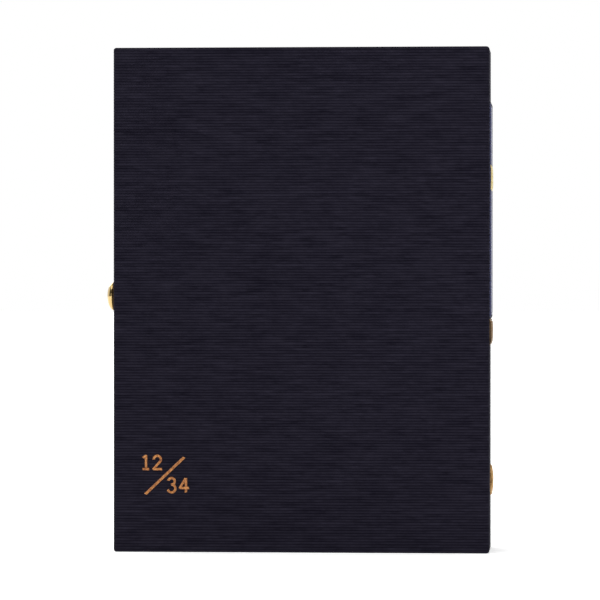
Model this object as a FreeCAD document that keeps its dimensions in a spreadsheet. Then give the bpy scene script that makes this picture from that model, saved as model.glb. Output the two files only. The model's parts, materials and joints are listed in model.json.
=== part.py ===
import FreeCAD, Part
import Sketcher
import math
import os

# A book-shaped hard case: a cloth-covered back board and spine, and a front cover with its own rim of walls
# that swings open on a barrel hinge along the spine. A push button on the fore edge frees a spring catch.
#
# Frame: +Z up the height of the book, which stands on its tail. The back cover faces -Y, the front cover +Y,
# the fore edge -X and the spine +X. The origin is on the surface that the book stands on, in the middle of
# the whole width (button and spine ornaments included) and midway between the two covers. Millimetres.

DIMENSIONS = {
    # overall book
    "case_width": 149.0,        # fore edge to spine, over the cloth
    "case_height": 200.0,       # tail to head
    "case_depth": 40.0,         # back cover to front cover
    "case_offset": 1.225,       # the covers' middle, from the middle of the overall width
    # build-up of the walls, from outside to inside
    "cloth": 0.6,
    "board": 2.4,
    "overhang": 2.0,            # how far the covers stand out past the page edges
    "band": 0.5,
    "wall": 2.0,
    "lining": 0.4,
    # brass rims where the two halves meet
    "seam": 0.1,                # half of the gap between the rims
    "rim": 1.4,
    "rim_proud": 0.2,
    "rim_pin_radius": 0.6,
    "rim_pin_length": 7.0,
    # barrel hinge in the corner of the spine and the front cover
    "barrel_radius": 1.9,
    "barrel_inset": 1.5,        # from head and tail to the barrel's ends
    "hinge_pin_radius": 0.9,
    "hinge_play": 0.05,
    "knuckle_gap": 0.2,
    "leaf_thick": 0.8,
    "leaf_width": 13.0,
    "joint_gap": 0.4,
    "cloth_play": 0.1,          # between the barrel and the cloth that wraps it
    "rivet_radius": 0.8,
    "rivet_head": 1.5,
    "rivet_dome": 0.5,
    "wall_play": 0.6,           # between the front half's walls and the spine
    # push button, in the fore edge of the back half
    "button_up": 101.4,         # its axis, above the tail
    "button_back": 9.0,         # its axis, behind the seam
    "button_radius": 5.8,
    "button_tall": 5.65,        # its face, out from the page edges
    "button_travel": 1.3,
    "stem_radius": 1.5,
    "stem_play": 0.05,
    "collar_radius": 3.6,
    "collar_tall": 1.6,
    "flange_radius": 5.2,
    "flange_tall": 0.5,
    "tube_radius": 2.6,
    "spring_wire": 0.4,
    "spring_radius": 2.6,
    "spring_turns": 3.0,
    "head_play": 0.1,           # left between the pressed head and the bezel
    "roof": 1.5,                # thickness of the head over its recess
    "face_round": 2.6,
    "skirt_round": 1.1,
    # spring catch inside the case
    "catch_arm": 21.4,          # from the leaf's clamp line to the button's axis
    "catch_gap": 2.7,           # from the lining to the leaf
    "catch_thick": 0.5,
    "catch_half_width": 3.0,
    "catch_front": 2.6,         # the arm's front edge, behind the seam
    "tab_deep": 1.8,            # the tab, out from the arm
    "tab_front": 2.9,           # the tab's front and back edges, behind the seam
    "tab_back": 4.3,
    "block_half": 4.0,
    "block_tall": 12.0,
    "fixing_radius": 0.8,       # rivets and screws of the catch
    "fixing_head": 1.4,
    "fixing_dome": 0.5,
    "fixing_half": 2.4,         # half the distance between the two rivets of a pair
    "keeper_up": 4.1,           # the keeper's lower edge, above the button's axis
    "keeper_thick": 0.8,
    "keeper_tall": 8.0,
    "keeper_step": 1.4,         # how far the keeper's tongue stands off the lining
    "keeper_reach": 6.0,        # how far the tongue goes past the seam
    "keeper_foot": 12.5,        # how far its foot goes into the front half
    "window_front": 2.4,        # the window in the tongue, behind the seam
    "window_back": 4.8,
    "housing_deep": 5.9,
    "housing_sheet": 0.5,
    "housing_front": 1.8,       # the housing's front and back faces, behind the seam
    "housing_back": 15.2,
    "housing_tab": 5.0,
    "slot_deep": 3.4,
    # raised work on the cloth
    "thread": 0.5,
    "stroke": 0.95,
    "felt": 0.5,
    "felt_over": 0.4,
    "roundel_thick": 1.2,
    "label_half": 15.0,         # half the width of the spine's panel and upper band
    "label_low": 93.0,
    "label_high": 178.0,
    "upper_band_low": 143.5,
    "upper_band_high": 153.5,
    "lower_half": 16.5,
    "lower_band_low": 82.0,
    "lower_band_high": 92.6,
    "roundel_radius": 6.2,
    "roundel_up": 28.2,
}

doc = FreeCAD.newDocument("book_case")
sheet = doc.addObject("Spreadsheet::Sheet", "dims")
pieces = []


class Size:
    """A length with its expression on the sheet and its value, so that geometry can be bound to it."""

    def __init__(self, text, value):
        self.text, self.value = text, value

    def _join(self, other, sign, swap=False):
        other = other if isinstance(other, Size) else Size(repr(other), other)
        a, b = (other, self) if swap else (self, other)
        value = {"+": a.value + b.value, "-": a.value - b.value, "*": a.value * b.value}[sign]
        return Size(f"({a.text} {sign} {b.text})", value)

    def __add__(self, other):
        return self._join(other, "+")

    def __radd__(self, other):
        return self._join(other, "+", True)

    def __sub__(self, other):
        return self._join(other, "-")

    def __rsub__(self, other):
        return self._join(other, "-", True)

    def __mul__(self, other):
        return self._join(other, "*")

    def __rmul__(self, other):
        return self._join(other, "*", True)

    def __neg__(self):
        return self * -1


def fill_sheet():
    """One row for each driving dimension, with its name as the alias."""
    for row, (name, value) in enumerate(DIMENSIONS.items(), start=1):
        sheet.set(f"A{row}", name)
        sheet.set(f"B{row}", str(value))
        sheet.setAlias(f"B{row}", name)
    doc.recompute()


def dim(name):
    return Size(f"dims.{name}", float(sheet.get(name)))


def text_of(size):
    return size.text if isinstance(size, Size) else repr(size)


def value_of(size):
    return size.value if isinstance(size, Size) else size


def keep(obj, label):
    """obj is a finished sub-part: its label names its file."""
    obj.Label = label
    pieces.append(obj)
    return obj


# ---------------------------------------------------------------- building blocks

AXIS_TURN = {
    "X": FreeCAD.Rotation(FreeCAD.Vector(0, 1, 0), 90),
    "Y": FreeCAD.Rotation(FreeCAD.Vector(1, 0, 0), -90),
    "Z": FreeCAD.Rotation(),
}


def place(obj, x, y, z):
    for letter, size in zip("xyz", (x, y, z)):
        obj.setExpression(f"Placement.Base.{letter}", text_of(size))


def slab(name, x, y, z):
    """A box between two planes on each axis."""
    box = doc.addObject("Part::Box", name)
    for prop, (low, high) in zip(("Length", "Width", "Height"), (x, y, z)):
        box.setExpression(prop, text_of(high - low))
    place(box, x[0], y[0], z[0])
    return box


def rod(name, axis, radius, low, high, centre):
    """A cylinder along an axis from low to high; centre is its place on the other two, in X, Y, Z order."""
    cylinder = doc.addObject("Part::Cylinder", name)
    cylinder.setExpression("Radius", text_of(radius))
    cylinder.setExpression("Height", text_of(high - low))
    cylinder.Placement.Rotation = AXIS_TURN[axis]
    base = list(centre)
    base.insert("XYZ".index(axis), low)
    place(cylinder, *base)
    return cylinder


def fused(name, shapes):
    if len(shapes) == 1:
        return shapes[0]
    fuse = doc.addObject("Part::MultiFuse", name)
    fuse.Shapes = shapes
    return fuse


def less(name, base, tools):
    """base with every one of the tools cut out of it."""
    cut = doc.addObject("Part::Cut", name)
    cut.Base = base
    cut.Tool = fused(name + "_tools", tools)
    return cut


def rounded(name, base, radius, chosen):
    """base with a fillet on each edge that chosen(edge) picks."""
    doc.recompute()
    fillet = doc.addObject("Part::Fillet", name)
    fillet.Base = base
    numbers = [i for i, edge in enumerate(base.Shape.Edges, start=1) if chosen(edge)]
    fillet.Edges = [(i, radius, radius) for i in numbers]
    return fillet


def new_body(name):
    return doc.addObject("PartDesign::Body", name)


PLANE_OF = {"Z": "XY_Plane", "Y": "XZ_Plane", "X": "YZ_Plane"}


def outline(body, name, axis, start, points):
    """A sketch of straight sides through points, square to axis, its plane at start and each corner bound."""
    sketch = body.newObject("Sketcher::SketchObject", name)
    plane = next(f for f in body.Origin.OriginFeatures if f.Role == PLANE_OF[axis])
    sketch.AttachmentSupport = [(plane, "")]
    sketch.MapMode = "FlatFace"
    sketch.setExpression("AttachmentOffset.Base.z", text_of(start))
    corners = [FreeCAD.Vector(value_of(u), value_of(v), 0) for u, v in points]
    for i, corner in enumerate(corners):
        sketch.addGeometry(Part.LineSegment(corner, corners[(i + 1) % len(corners)]), False)
    for i in range(len(corners)):
        sketch.addConstraint(Sketcher.Constraint("Coincident", i, 2, (i + 1) % len(corners), 1))
    for i, (u, v) in enumerate(points):
        for kind, size, letter in (("DistanceX", u, "u"), ("DistanceY", v, "v")):
            number = sketch.addConstraint(Sketcher.Constraint(kind, -1, 1, i, 1, value_of(size)))
            sketch.renameConstraint(number, f"{letter}{i}")
            sketch.setExpression(f"Constraints.{letter}{i}", text_of(size))
    return sketch


def sketch_start(axis, low, high):
    """Where a sketch square to axis lies so that its feature runs from low to high: the XZ plane faces -Y."""
    return -1 * high if axis == "Y" else low


def pad(body, axis, low, high, points):
    """Adds the outline of points to body, from low to high along axis."""
    sketch = outline(body, body.Name + "_outline", axis, sketch_start(axis, low, high), points)
    feature = body.newObject("PartDesign::Pad", body.Name + "_pad")
    feature.Profile = sketch
    feature.setExpression("Length", text_of(high - low))
    sketch.Visibility = False
    return body


def pocket(body, axis, low, high, points):
    """Takes the outline of points out of body, from low to high along axis."""
    sketch = outline(body, body.Name + "_window", axis, sketch_start(axis, low, high), points)
    doc.recompute()
    before = body.Shape.Volume
    feature = body.newObject("PartDesign::Pocket", body.Name + "_pocket")
    feature.Profile = sketch
    feature.Reversed = True
    feature.setExpression("Length", text_of(high - low))
    sketch.Visibility = False
    doc.recompute()
    if body.Shape.Volume > before - 1e-6:
        raise RuntimeError(f"the pocket in {body.Name} cut nothing")
    return body


def turned(name, points, x, y, z):
    """A body turned about an axis along X through (x, y, z). Points are (along X, radius)."""
    body = new_body(name)
    sketch = outline(body, name + "_outline", "Y", 0.0, points)
    feature = body.newObject("PartDesign::Revolution", name + "_turn")
    feature.Profile = sketch
    feature.ReferenceAxis = (sketch, ["H_Axis"])
    feature.Angle = 360
    sketch.Visibility = False
    place(body, x, y, z)
    return body


def rectangle(u, v):
    return [(u[0], v[0]), (u[1], v[0]), (u[1], v[1]), (u[0], v[1])]


# ---------------------------------------------------------------- sizes that several pieces share

fill_sheet()

left = dim("case_offset") - dim("case_width") * 0.5
right = dim("case_offset") + dim("case_width") * 0.5
back = dim("case_depth") * -0.5
front = dim("case_depth") * 0.5
top = dim("case_height")

cloth, board, lining, wall, band = (dim(n) for n in ("cloth", "board", "lining", "wall", "band"))
back_inner = back + cloth + board               # inner face of the back board
front_inner = front - cloth - board             # inner face of the front board
spine_inner = right - cloth - board             # inner face of the spine board
rim_low, rim_high = dim("seam"), dim("seam") + dim("rim")

edge_face = dim("overhang")                     # insets from the covers' edges: the page edges' outer face,
wall_face = edge_face + band                    # the wall's outer face,
wall_back = wall_face + wall                    # the wall's inner face,
inside = wall_back + lining                     # and the lining's inner face

hinge_inset = cloth + dim("cloth_play") + dim("barrel_radius")
hinge_x = right - hinge_inset
hinge_y = front - hinge_inset
board_stop = dim("barrel_radius") + dim("joint_gap")
spine_end = hinge_y - board_stop                # the spine board stops here,
cover_end = hinge_x - board_stop                # and the front board here
barrel_low = dim("barrel_inset")
barrel_high = top - dim("barrel_inset")

button_y = -1 * dim("button_back")
button_z = dim("button_up")
edge_x = left + edge_face                       # the page edges' outer face on the fore edge
inside_x = left + inside                        # the lining's inner face on the fore edge
clamp_z = button_z - dim("catch_arm")
leaf_x = inside_x + dim("catch_gap")
keeper_low = button_z + dim("keeper_up")
keeper_high = keeper_low + dim("keeper_tall")


def u_shape(outer, inner, end):
    """A band along tail, fore edge and head, between two insets from the covers' edges, open at end."""
    return [
        (left + outer, outer),
        (end, outer),
        (end, inner),
        (left + inner, inner),
        (left + inner, top - inner),
        (end, top - inner),
        (end, top - outer),
        (left + outer, top - outer),
    ]


# ---------------------------------------------------------------- fasteners, and the holes they make


def spaced(low, high, count):
    """count places from low to high, evenly spaced."""
    return [low + (high - low) * (i / (count - 1)) for i in range(count)]


def rivets(label, axis, shank, head, places, radius, head_radius):
    """A group of rivets, with shank and head as (low, high) along axis. Returns the shanks, which drill."""
    shanks = [rod(f"{label}_shank{i}", axis, radius, *shank, at) for i, at in enumerate(places)]
    heads = [rod(f"{label}_head{i}", axis, head_radius, *head, at) for i, at in enumerate(places)]
    drill = fused(label + "_shanks", shanks)
    keep(fused(label, [drill] + heads), label)
    return drill


def rim_pins(label, low, high):
    """Headless brass pins that hold a rim to its wall, along Y, in the middle of the wall."""
    middle = wall_face + wall * 0.5
    along = spaced(left + 22.0, spine_inner - 12.0, 4)
    fore = spaced(top * 0.19, top * 0.81, 4)
    places = [(x, middle) for x in along]
    places += [(x, top - middle) for x in along]
    places += [(left + middle, z) for z in fore]
    radius = dim("rim_pin_radius")
    pins = [rod(f"{label}{i}", "Y", radius, low, high, at) for i, at in enumerate(places)]
    return keep(fused(label, pins), label)


# ---------------------------------------------------------------- boards, cloth, walls and linings


def back_cover():
    edges = (left + cloth, right - cloth), (back + cloth, back_inner), (cloth, top - cloth)
    keep(slab("back_board_box", *edges), "back_board")
    wrap = slab("back_wrap", (left, right), (back, back_inner + cloth), (0.0, top))
    wrap = rounded("back_wrap_round", wrap, 1.0, lambda e: near_y(e, back) or upright_at(e, right, back))
    core = slab("back_wrap_core", *edges)
    inner_z = wall_back, top - wall_back
    window = slab("back_wrap_window", (left + wall_back, right), (back_inner, front), inner_z)
    strip = slab("back_wrap_strip", (spine_inner, right), (back_inner, front), (0.0, top))
    keep(less("back_cover_cloth_cut", wrap, [core, window, strip]), "back_cover_cloth")


def near_y(edge, y):
    """True for an edge that lies in the plane at y."""
    box = edge.BoundBox
    return abs(box.YMin - y.value) < 1e-6 and abs(box.YMax - y.value) < 1e-6


def upright_at(edge, x, y):
    box = edge.BoundBox
    return all(abs(a - b) < 1e-6 for a, b in ((box.XMin, x.value), (box.XMax, x.value), (box.YMax, y.value)))


def front_cover():
    edges = (left + cloth, cover_end), (front_inner, front - cloth), (cloth, top - cloth)
    leaf_rivets = front_leaf_rivets()
    keep(less("front_board_cut", slab("front_board_box", *edges), [leaf_rivets]), "front_board")
    wrap = slab("front_wrap", (left, cover_end), (front_inner - cloth, front), (0.0, top))
    fore = left.value + 1
    wrap = rounded("front_wrap_round", wrap, 1.0, lambda e: near_y(e, front) and e.BoundBox.XMin < fore)
    core = slab("front_wrap_core", (left + cloth, right), (front_inner, front - cloth), (cloth, top - cloth))
    inner_z = wall_back, top - wall_back
    window = slab("front_wrap_window", (left + wall_back, right), (back, front_inner), inner_z)
    keep(less("front_cover_cloth_cut", wrap, [core, window]), "front_cover_cloth")
    return leaf_rivets


def spine():
    """The spine board, its cloth with the returns at head and tail, and the strip that lines it."""
    drill = spine_leaf_rivets()
    core = (spine_inner, right - cloth), (back_inner, spine_end), (cloth, top - cloth)
    keep(less("spine_board_cut", slab("spine_board_box", *core), [drill]), "spine_board")
    wrap = slab("spine_wrap", (spine_inner, right), (back_inner, spine_end), (0.0, top))
    keep(less("spine_cloth_cut", wrap, [slab("spine_wrap_core", *core)]), "spine_cloth")
    strip_y, strip_z = (-1 * rim_high, spine_end), (inside, top - inside)
    strip = slab("spine_strip", (spine_inner - lining, spine_inner), strip_y, strip_z)
    keep(less("spine_lining_cut", strip, [drill]), "spine_lining")
    return drill


def joint():
    """The cloth that wraps the hinge barrel, from the spine to the front cover."""
    span = cloth, top - cloth
    full = rod("joint_outer", "Z", hinge_inset, *span, (hinge_x, hinge_y))
    bore = rod("joint_inner", "Z", hinge_inset - cloth, *span, (hinge_x, hinge_y))
    ring = doc.addObject("Part::Common", "joint_quarter")
    ring.Base = full
    ring.Tool = slab("joint_corner", (hinge_x, right), (hinge_y, front), span)
    side = slab("joint_side", (right - cloth, right), (spine_end, hinge_y), span)
    face = slab("joint_face", (cover_end, hinge_x), (front - cloth, front), span)
    keep(fused("joint_fuse", [less("joint_arc", ring, [bore]), side, face]), "joint_cloth")


def halves(button_hole, catch_shanks, keeper_shanks):
    """The walls, page-edge bands, brass rims, rim pins and linings of the two halves."""
    back_span = back_inner + cloth, -1 * rim_high
    front_span = rim_high, front_inner - cloth
    barrel_span = barrel_low - board, barrel_high + board
    barrel_room = rod("barrel_room", "Z", board_stop, *barrel_span, (hinge_x, hinge_y))
    free_end = spine_inner - dim("wall_play")

    back_pins = rim_pins("back_rim_pins", -1 * rim_high - dim("rim_pin_length"), -1 * rim_low)
    front_pins = rim_pins("front_rim_pins", rim_low, rim_high + dim("rim_pin_length"))

    body = pad(new_body("back_wall_body"), "Y", *back_span, u_shape(wall_face, wall_back, spine_inner))
    keep(less("back_wall_cut", body, [back_pins, button_hole, catch_shanks]), "back_wall")
    body = pad(new_body("front_wall_body"), "Y", *front_span, u_shape(wall_face, wall_back, free_end))
    keep(less("front_wall_cut", body, [front_pins, barrel_room, keeper_shanks]), "front_wall")

    body = pad(new_body("back_band_body"), "Y", *back_span, u_shape(edge_face, wall_face, spine_inner))
    keep(less("back_band_cut", body, [button_hole]), "back_page_edges")
    body = pad(new_body("front_band_body"), "Y", *front_span, u_shape(edge_face, wall_face, free_end))
    keep(less("front_band_cut", body, [barrel_room]), "front_page_edges")

    rim_outer = edge_face - dim("rim_proud")
    profile = u_shape(rim_outer, inside, spine_inner)
    body = pad(new_body("back_rim_body"), "Y", -1 * rim_high, -1 * rim_low, profile)
    keep(less("back_rim_cut", body, [back_pins]), "back_brass_rim")
    body = pad(new_body("front_rim_body"), "Y", rim_low, rim_high, u_shape(rim_outer, inside, free_end))
    keep(less("front_rim_cut", body, [front_pins]), "front_brass_rim")

    tray_z, room_z = (wall_back, top - wall_back), (inside, top - inside)
    tray = slab("back_tray", (left + wall_back, spine_inner), (back_inner, -1 * rim_high), tray_z)
    room = slab("back_room", (inside_x, spine_inner - lining), (back_inner + lining, front), room_z)
    keep(less("back_lining_cut", tray, [room, button_hole, catch_shanks]), "back_lining")
    tray = slab("front_tray", (left + wall_back, cover_end), (rim_high, front_inner), tray_z)
    room = slab("front_room", (inside_x, right), (back, front_inner - lining), room_z)
    keep(less("front_lining_cut", tray, [room, front_leaf_drill, keeper_shanks]), "front_lining")


# ---------------------------------------------------------------- hinge

KNUCKLES = 7
LEAF_RIVETS = 6
leaf_far = dim("barrel_radius") - 0.3           # the leaves' two faces, from the hinge axis
leaf_near = leaf_far - dim("leaf_thick")
rivet_across = dim("leaf_width") * 0.5 + 1.5    # the rivet line, from the hinge axis


def knuckle(i):
    """The lower and upper end of knuckle i, counted from the tail."""
    pitch = (barrel_high - barrel_low + dim("knuckle_gap")) * (1 / KNUCKLES)
    low = barrel_low + pitch * i
    return low, low + pitch - dim("knuckle_gap")


def rivet_heights():
    return spaced(top * 0.07, top * 0.93, LEAF_RIVETS)


def spine_leaf_rivets():
    face = hinge_x - leaf_far
    places = [(hinge_y - rivet_across, z) for z in rivet_heights()]
    head = (face - dim("rivet_dome"), face)
    shank = (face, spine_inner + board * 0.6)
    return rivets("spine_leaf_rivets", "X", shank, head, places, dim("rivet_radius"), dim("rivet_head"))


def front_leaf_rivets():
    face = hinge_y - leaf_far
    places = [(hinge_x - rivet_across, z) for z in rivet_heights()]
    head = (face - dim("rivet_dome"), face)
    shank = (face, front_inner + board * 0.6)
    return rivets("front_leaf_rivets", "Y", shank, head, places, dim("rivet_radius"), dim("rivet_head"))


def hinge_leaf(label, own, plate, notch_x, notch_y, drill):
    """A leaf and its knuckles: own says which knuckles it holds, and the plate is cut back at the others."""
    bore_radius = dim("hinge_pin_radius") + dim("hinge_play")
    barrels = []
    notches = []
    for i in range(KNUCKLES):
        low, high = knuckle(i)
        if i % 2 == own:
            name = f"{label}_knuckle{i}"
            barrels.append(rod(name, "Z", dim("barrel_radius"), low, high, (hinge_x, hinge_y)))
        else:
            gap = dim("knuckle_gap")
            notches.append(slab(f"{label}_notch{i}", notch_x, notch_y, (low - gap, high + gap)))
    blank = fused(label + "_blank", [less(label + "_plate_cut", plate, notches)] + barrels)
    bore = rod(label + "_bore", "Z", bore_radius, barrel_low - board, barrel_high + board, (hinge_x, hinge_y))
    return keep(less(label + "_drilled", blank, [bore, drill]), label)


def hinge(spine_drill, front_drill):
    x, y = hinge_x, hinge_y
    reach = dim("leaf_width")
    span = inside + 1.1, top - inside - 1.1
    plate = slab("spine_plate", (x - leaf_far, x - leaf_near), (y - reach, y - 0.9), span)
    notch = (x - leaf_far - 1, x), (y - board_stop, y)
    hinge_leaf("hinge_leaf_spine", 0, plate, *notch, spine_drill)
    plate = slab("front_plate", (x - reach, x - 0.9), (y - leaf_far, y - leaf_near), span)
    notch = (x - board_stop, x), (y - leaf_far - 1, y)
    hinge_leaf("hinge_leaf_front", 1, plate, *notch, front_drill)
    shaft = rod("pin_shaft", "Z", dim("hinge_pin_radius"), barrel_low, barrel_high, (x, y))
    head_radius = dim("barrel_radius") - 0.3
    tail_head = rod("pin_tail", "Z", head_radius, barrel_low - 0.5, barrel_low, (x, y))
    head_head = rod("pin_head", "Z", head_radius, barrel_high, barrel_high + 0.5, (x, y))
    keep(fused("pin_fuse", [shaft, tail_head, head_head]), "hinge_pin")


# ---------------------------------------------------------------- push button


def push_button():
    """The head, its stem and clip, and the bezel that guides it.

    Lengths run inwards from the page edges' face.
    """
    at = edge_x, button_y, button_z
    through = band + wall + lining
    stem, bore = dim("stem_radius"), dim("stem_radius") + dim("stem_play")
    flange, collar = -1 * dim("flange_tall"), -1 * dim("collar_tall")
    bezel = [
        (collar, bore),
        (collar, dim("collar_radius")),
        (flange, dim("collar_radius")),
        (flange, dim("flange_radius")),
        (0.0, dim("flange_radius")),
        (0.0, dim("tube_radius")),
        (through, dim("tube_radius")),
        (through, bore),
    ]
    keep(turned("button_bezel_body", bezel, *at), "button_bezel")

    face = -1 * dim("button_tall")
    skirt = flange - dim("button_travel") - dim("head_play")
    floor = face + dim("roof")
    seat = face + dim("roof") * 0.6
    head = [
        (face, 0.0),
        (face, dim("button_radius")),
        (skirt, dim("button_radius")),
        (skirt, dim("collar_radius") + 0.6),
        (floor, dim("collar_radius") + 0.6),
        (floor, stem),
        (seat, stem),
        (seat, 0.0),
    ]
    body = turned("button_head_body", head, *at)
    round_head(body, face, dim("face_round").value)
    round_head(body, skirt, dim("skirt_round").value)
    keep(body, "button_head")

    clip = through + 0.2, through + 0.7
    tip = through + dim("catch_gap") - 0.2
    groove = stem - 0.3
    shaft = [
        (seat, 0.0),
        (seat, stem),
        (clip[0], stem),
        (clip[0], groove),
        (clip[1], groove),
        (clip[1], stem),
        (tip - 0.4, stem),
        (tip, stem - 0.4),
        (tip, 0.0),
    ]
    keep(turned("button_stem_body", shaft, *at), "button_stem")
    ring = [(clip[0], groove), (clip[1], groove), (clip[1], stem * 2.0), (clip[0], stem * 2.0)]
    keep(turned("stem_clip_body", ring, *at), "stem_clip")
    coil_spring(edge_x + floor, edge_x + collar)


def round_head(body, along, radius):
    """Rounds the button's outer rim at one end."""
    doc.recompute()
    wide = dim("button_radius").value
    chosen = [
        f"Edge{i}"
        for i, edge in enumerate(body.Tip.Shape.Edges, start=1)
        if edge.Curve.TypeId == "Part::GeomCircle"
        and abs(edge.Curve.Radius - wide) < 1e-6
        and abs(edge.Curve.Center.x - along.value) < 1e-6
    ]
    tip = body.Tip
    fillet = body.newObject("PartDesign::Fillet", body.Name + "_round")
    fillet.Base = (tip, chosen)
    fillet.Radius = radius
    doc.recompute()


def coil_spring(low, high):
    """The button's return spring, between the floor of the head's recess and the bezel's collar."""
    wire, radius = dim("spring_wire").value * 0.5, dim("spring_radius").value
    clear = 0.02
    rise = high.value - low.value - 2 * (wire + clear)
    path = Part.makeHelix(rise / dim("spring_turns").value, rise, radius)
    start = path.Edges[0].firstVertex().Point
    section = Part.Wire(Part.makeCircle(wire, start, FreeCAD.Vector(0, 1, 0)))
    coil = doc.addObject("Part::Feature", "button_spring_shape")
    coil.Shape = Part.Wire(path.Edges).makePipeShell([section], True, True)
    base = FreeCAD.Vector(low.value + wire + clear, button_y.value, button_z.value)
    coil.Placement = FreeCAD.Placement(base, AXIS_TURN["X"])
    keep(coil, "button_spring")


# ---------------------------------------------------------------- spring catch


def fixings(label, face, places):
    """Rivets or screws through a part whose inner face is at face, into the fore edge wall."""
    shank = (inside_x - lining - wall * 0.7, face)
    head = (face, face + dim("fixing_dome"))
    return rivets(label, "X", shank, head, places, dim("fixing_radius"), dim("fixing_head"))


def pair(y, middle):
    """Two places, one above the other."""
    return [(y, middle - dim("fixing_half")), (y, middle + dim("fixing_half"))]


def catch_leaf():
    """The spring leaf behind the button: a foot riveted to a block, and an arm whose tab hooks the keeper."""
    face = leaf_x + dim("catch_thick")
    half, block_half, block_low = dim("catch_half_width"), dim("block_half"), clamp_z - dim("block_tall")
    low, high = button_y - half, button_y + half
    drill = fixings("catch_rivets", face, pair(button_y, clamp_z - dim("block_tall") * 0.45))
    y = button_y - block_half, button_y + block_half
    block = slab("catch_block_box", (inside_x, leaf_x), y, (block_low, clamp_z - 0.2))
    keep(less("catch_block_cut", block, [drill]), "catch_block")
    foot = slab("catch_foot_box", (leaf_x, face), (low, high), (block_low + 1.0, clamp_z - 0.05))
    keep(less("catch_foot_cut", foot, [drill]), "catch_leaf_foot")

    arm = new_body("catch_arm_body")
    shoulder = keeper_low - 0.7
    near_seam = -1 * dim("catch_front")
    pad(arm, "X", leaf_x, face, [
        (low, clamp_z),
        (high, clamp_z),
        (high, shoulder),
        (near_seam, shoulder),
        (near_seam, keeper_high),
        (low, keeper_high),
    ])
    x = leaf_x - dim("tab_deep"), leaf_x
    y = -1 * dim("tab_back"), -1 * dim("tab_front")
    tab = slab("catch_tab", x, y, (keeper_low + 2.1, keeper_high - 1.9))
    tab = rounded("catch_tab_round", tab, 0.6, lambda e: upright_at(e, x[0], y[1]))
    keep(fused("catch_arm_fuse", [arm, tab]), "catch_leaf_arm")
    return drill


def keeper():
    """The bent brass strip on the front half that reaches past the seam, with the tab's window in it."""
    thick, step = dim("keeper_thick"), dim("keeper_step")
    bend = rim_high + thick
    miter = thick * 0.41                        # where the outer side of a 45 degree bend starts
    tongue = -1 * dim("keeper_reach")
    foot = dim("keeper_foot")
    face = inside_x + thick
    inner = face + step
    profile = [
        (inside_x, foot),
        (face, foot),
        (face, bend + step + miter),
        (inner, bend + miter),
        (inner, tongue),
        (inside_x + step, tongue),
        (inside_x + step, bend),
        (inside_x, bend + step),
    ]
    body = pad(new_body("keeper_body"), "Z", keeper_low, keeper_high, profile)
    y = -1 * dim("window_back"), -1 * dim("window_front")
    pocket(body, "X", inside_x, inner + 1.0, rectangle(y, (keeper_low + 1.6, keeper_high - 1.4)))
    drill = fixings("keeper_rivets", face, pair(foot - 4.0, (keeper_low + keeper_high) * 0.5))
    keep(less("keeper_cut", body, [drill]), "keeper")
    return drill


def housing():
    """The sheet cover over the catch, screwed to the fore edge wall, with a slot for the keeper."""
    metal, tall = dim("housing_sheet"), dim("housing_tab")
    x = inside_x, inside_x + dim("housing_deep")
    y = -1 * dim("housing_back"), -1 * dim("housing_front")
    z = clamp_z - dim("block_tall") - 1.2, keeper_high + 2.7
    shell = slab("housing_outer", x, y, z)
    shell = rounded("housing_round", shell, 0.8, lambda e: e.BoundBox.XMin > x[1].value - 1e-6)
    hollow_y, hollow_z = (y[0] + metal, y[1] - metal), (z[0] + metal, z[1] - metal)
    hollow = slab("housing_inner", (x[0], x[1] - metal), hollow_y, hollow_z)
    slot_x = x[0], x[0] + dim("slot_deep")
    slot = slab("housing_slot", slot_x, (y[1] - 1.0, y[1] + 1.0), (keeper_low - 0.9, keeper_high + 0.9))
    face = x[0] + metal
    tab_y = y[0] + 3.0, y[1] - 3.0
    tabs = [
        slab("housing_tab_low", (x[0], face), tab_y, (z[0] - tall, z[0])),
        slab("housing_tab_high", (x[0], face), tab_y, (z[1], z[1] + tall)),
    ]
    middle = (y[0] + y[1]) * 0.5
    drill = fixings("housing_screws", face, [(middle, z[0] - tall * 0.5), (middle, z[1] + tall * 0.5)])
    pressed = fused("housing_pressed", [less("housing_shell", shell, [hollow, slot])] + tabs)
    keep(less("housing_cut", pressed, [drill]), "catch_housing")
    return drill


# ---------------------------------------------------------------- embroidery and felt


def relief(label, faces, y_low, y_high):
    """Flat faces drawn in X and Z, raised from y_low to y_high and joined where they meet."""
    blocks = [face.extrude(FreeCAD.Vector(0, 0, y_high - y_low)) for face in faces]
    feature = doc.addObject("Part::Feature", label + "_shape")
    feature.Shape = blocks[0].multiFuse(blocks[1:]).removeSplitter() if len(blocks) > 1 else blocks[0]
    upright = FreeCAD.Rotation(FreeCAD.Vector(1, 0, 0), 90)
    feature.Placement = FreeCAD.Placement(FreeCAD.Vector(0, y_high, 0), upright)
    return keep(feature, label)


def stroke(line):
    """A round-ended stroke along line: each of its runs is a pair of points, or three for an arc."""
    half = dim("stroke").value * 0.5
    runs = [[FreeCAD.Vector(x, z, 0) for x, z in run] for run in line]
    if len(runs) == 1 and len(runs[0]) == 2:
        return capsule(*runs[0], half)
    edges = [(Part.LineSegment(*run) if len(run) == 2 else Part.Arc(*run)).toShape() for run in runs]
    return Part.Wire(edges).makeOffset2D(half, join=0, fill=True, openResult=False)


def capsule(start, end, half):
    """The face of a straight stroke with round ends."""
    along = (end - start).normalize() * half
    across = FreeCAD.Vector(-along.y, along.x, 0)
    edges = [
        Part.LineSegment(start + across, end + across),
        Part.Arc(end + across, end + along, end - across),
        Part.LineSegment(end - across, start - across),
        Part.Arc(start - across, start - along, start + across),
    ]
    return Part.Face(Part.Wire([edge.toShape() for edge in edges]))


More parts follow.
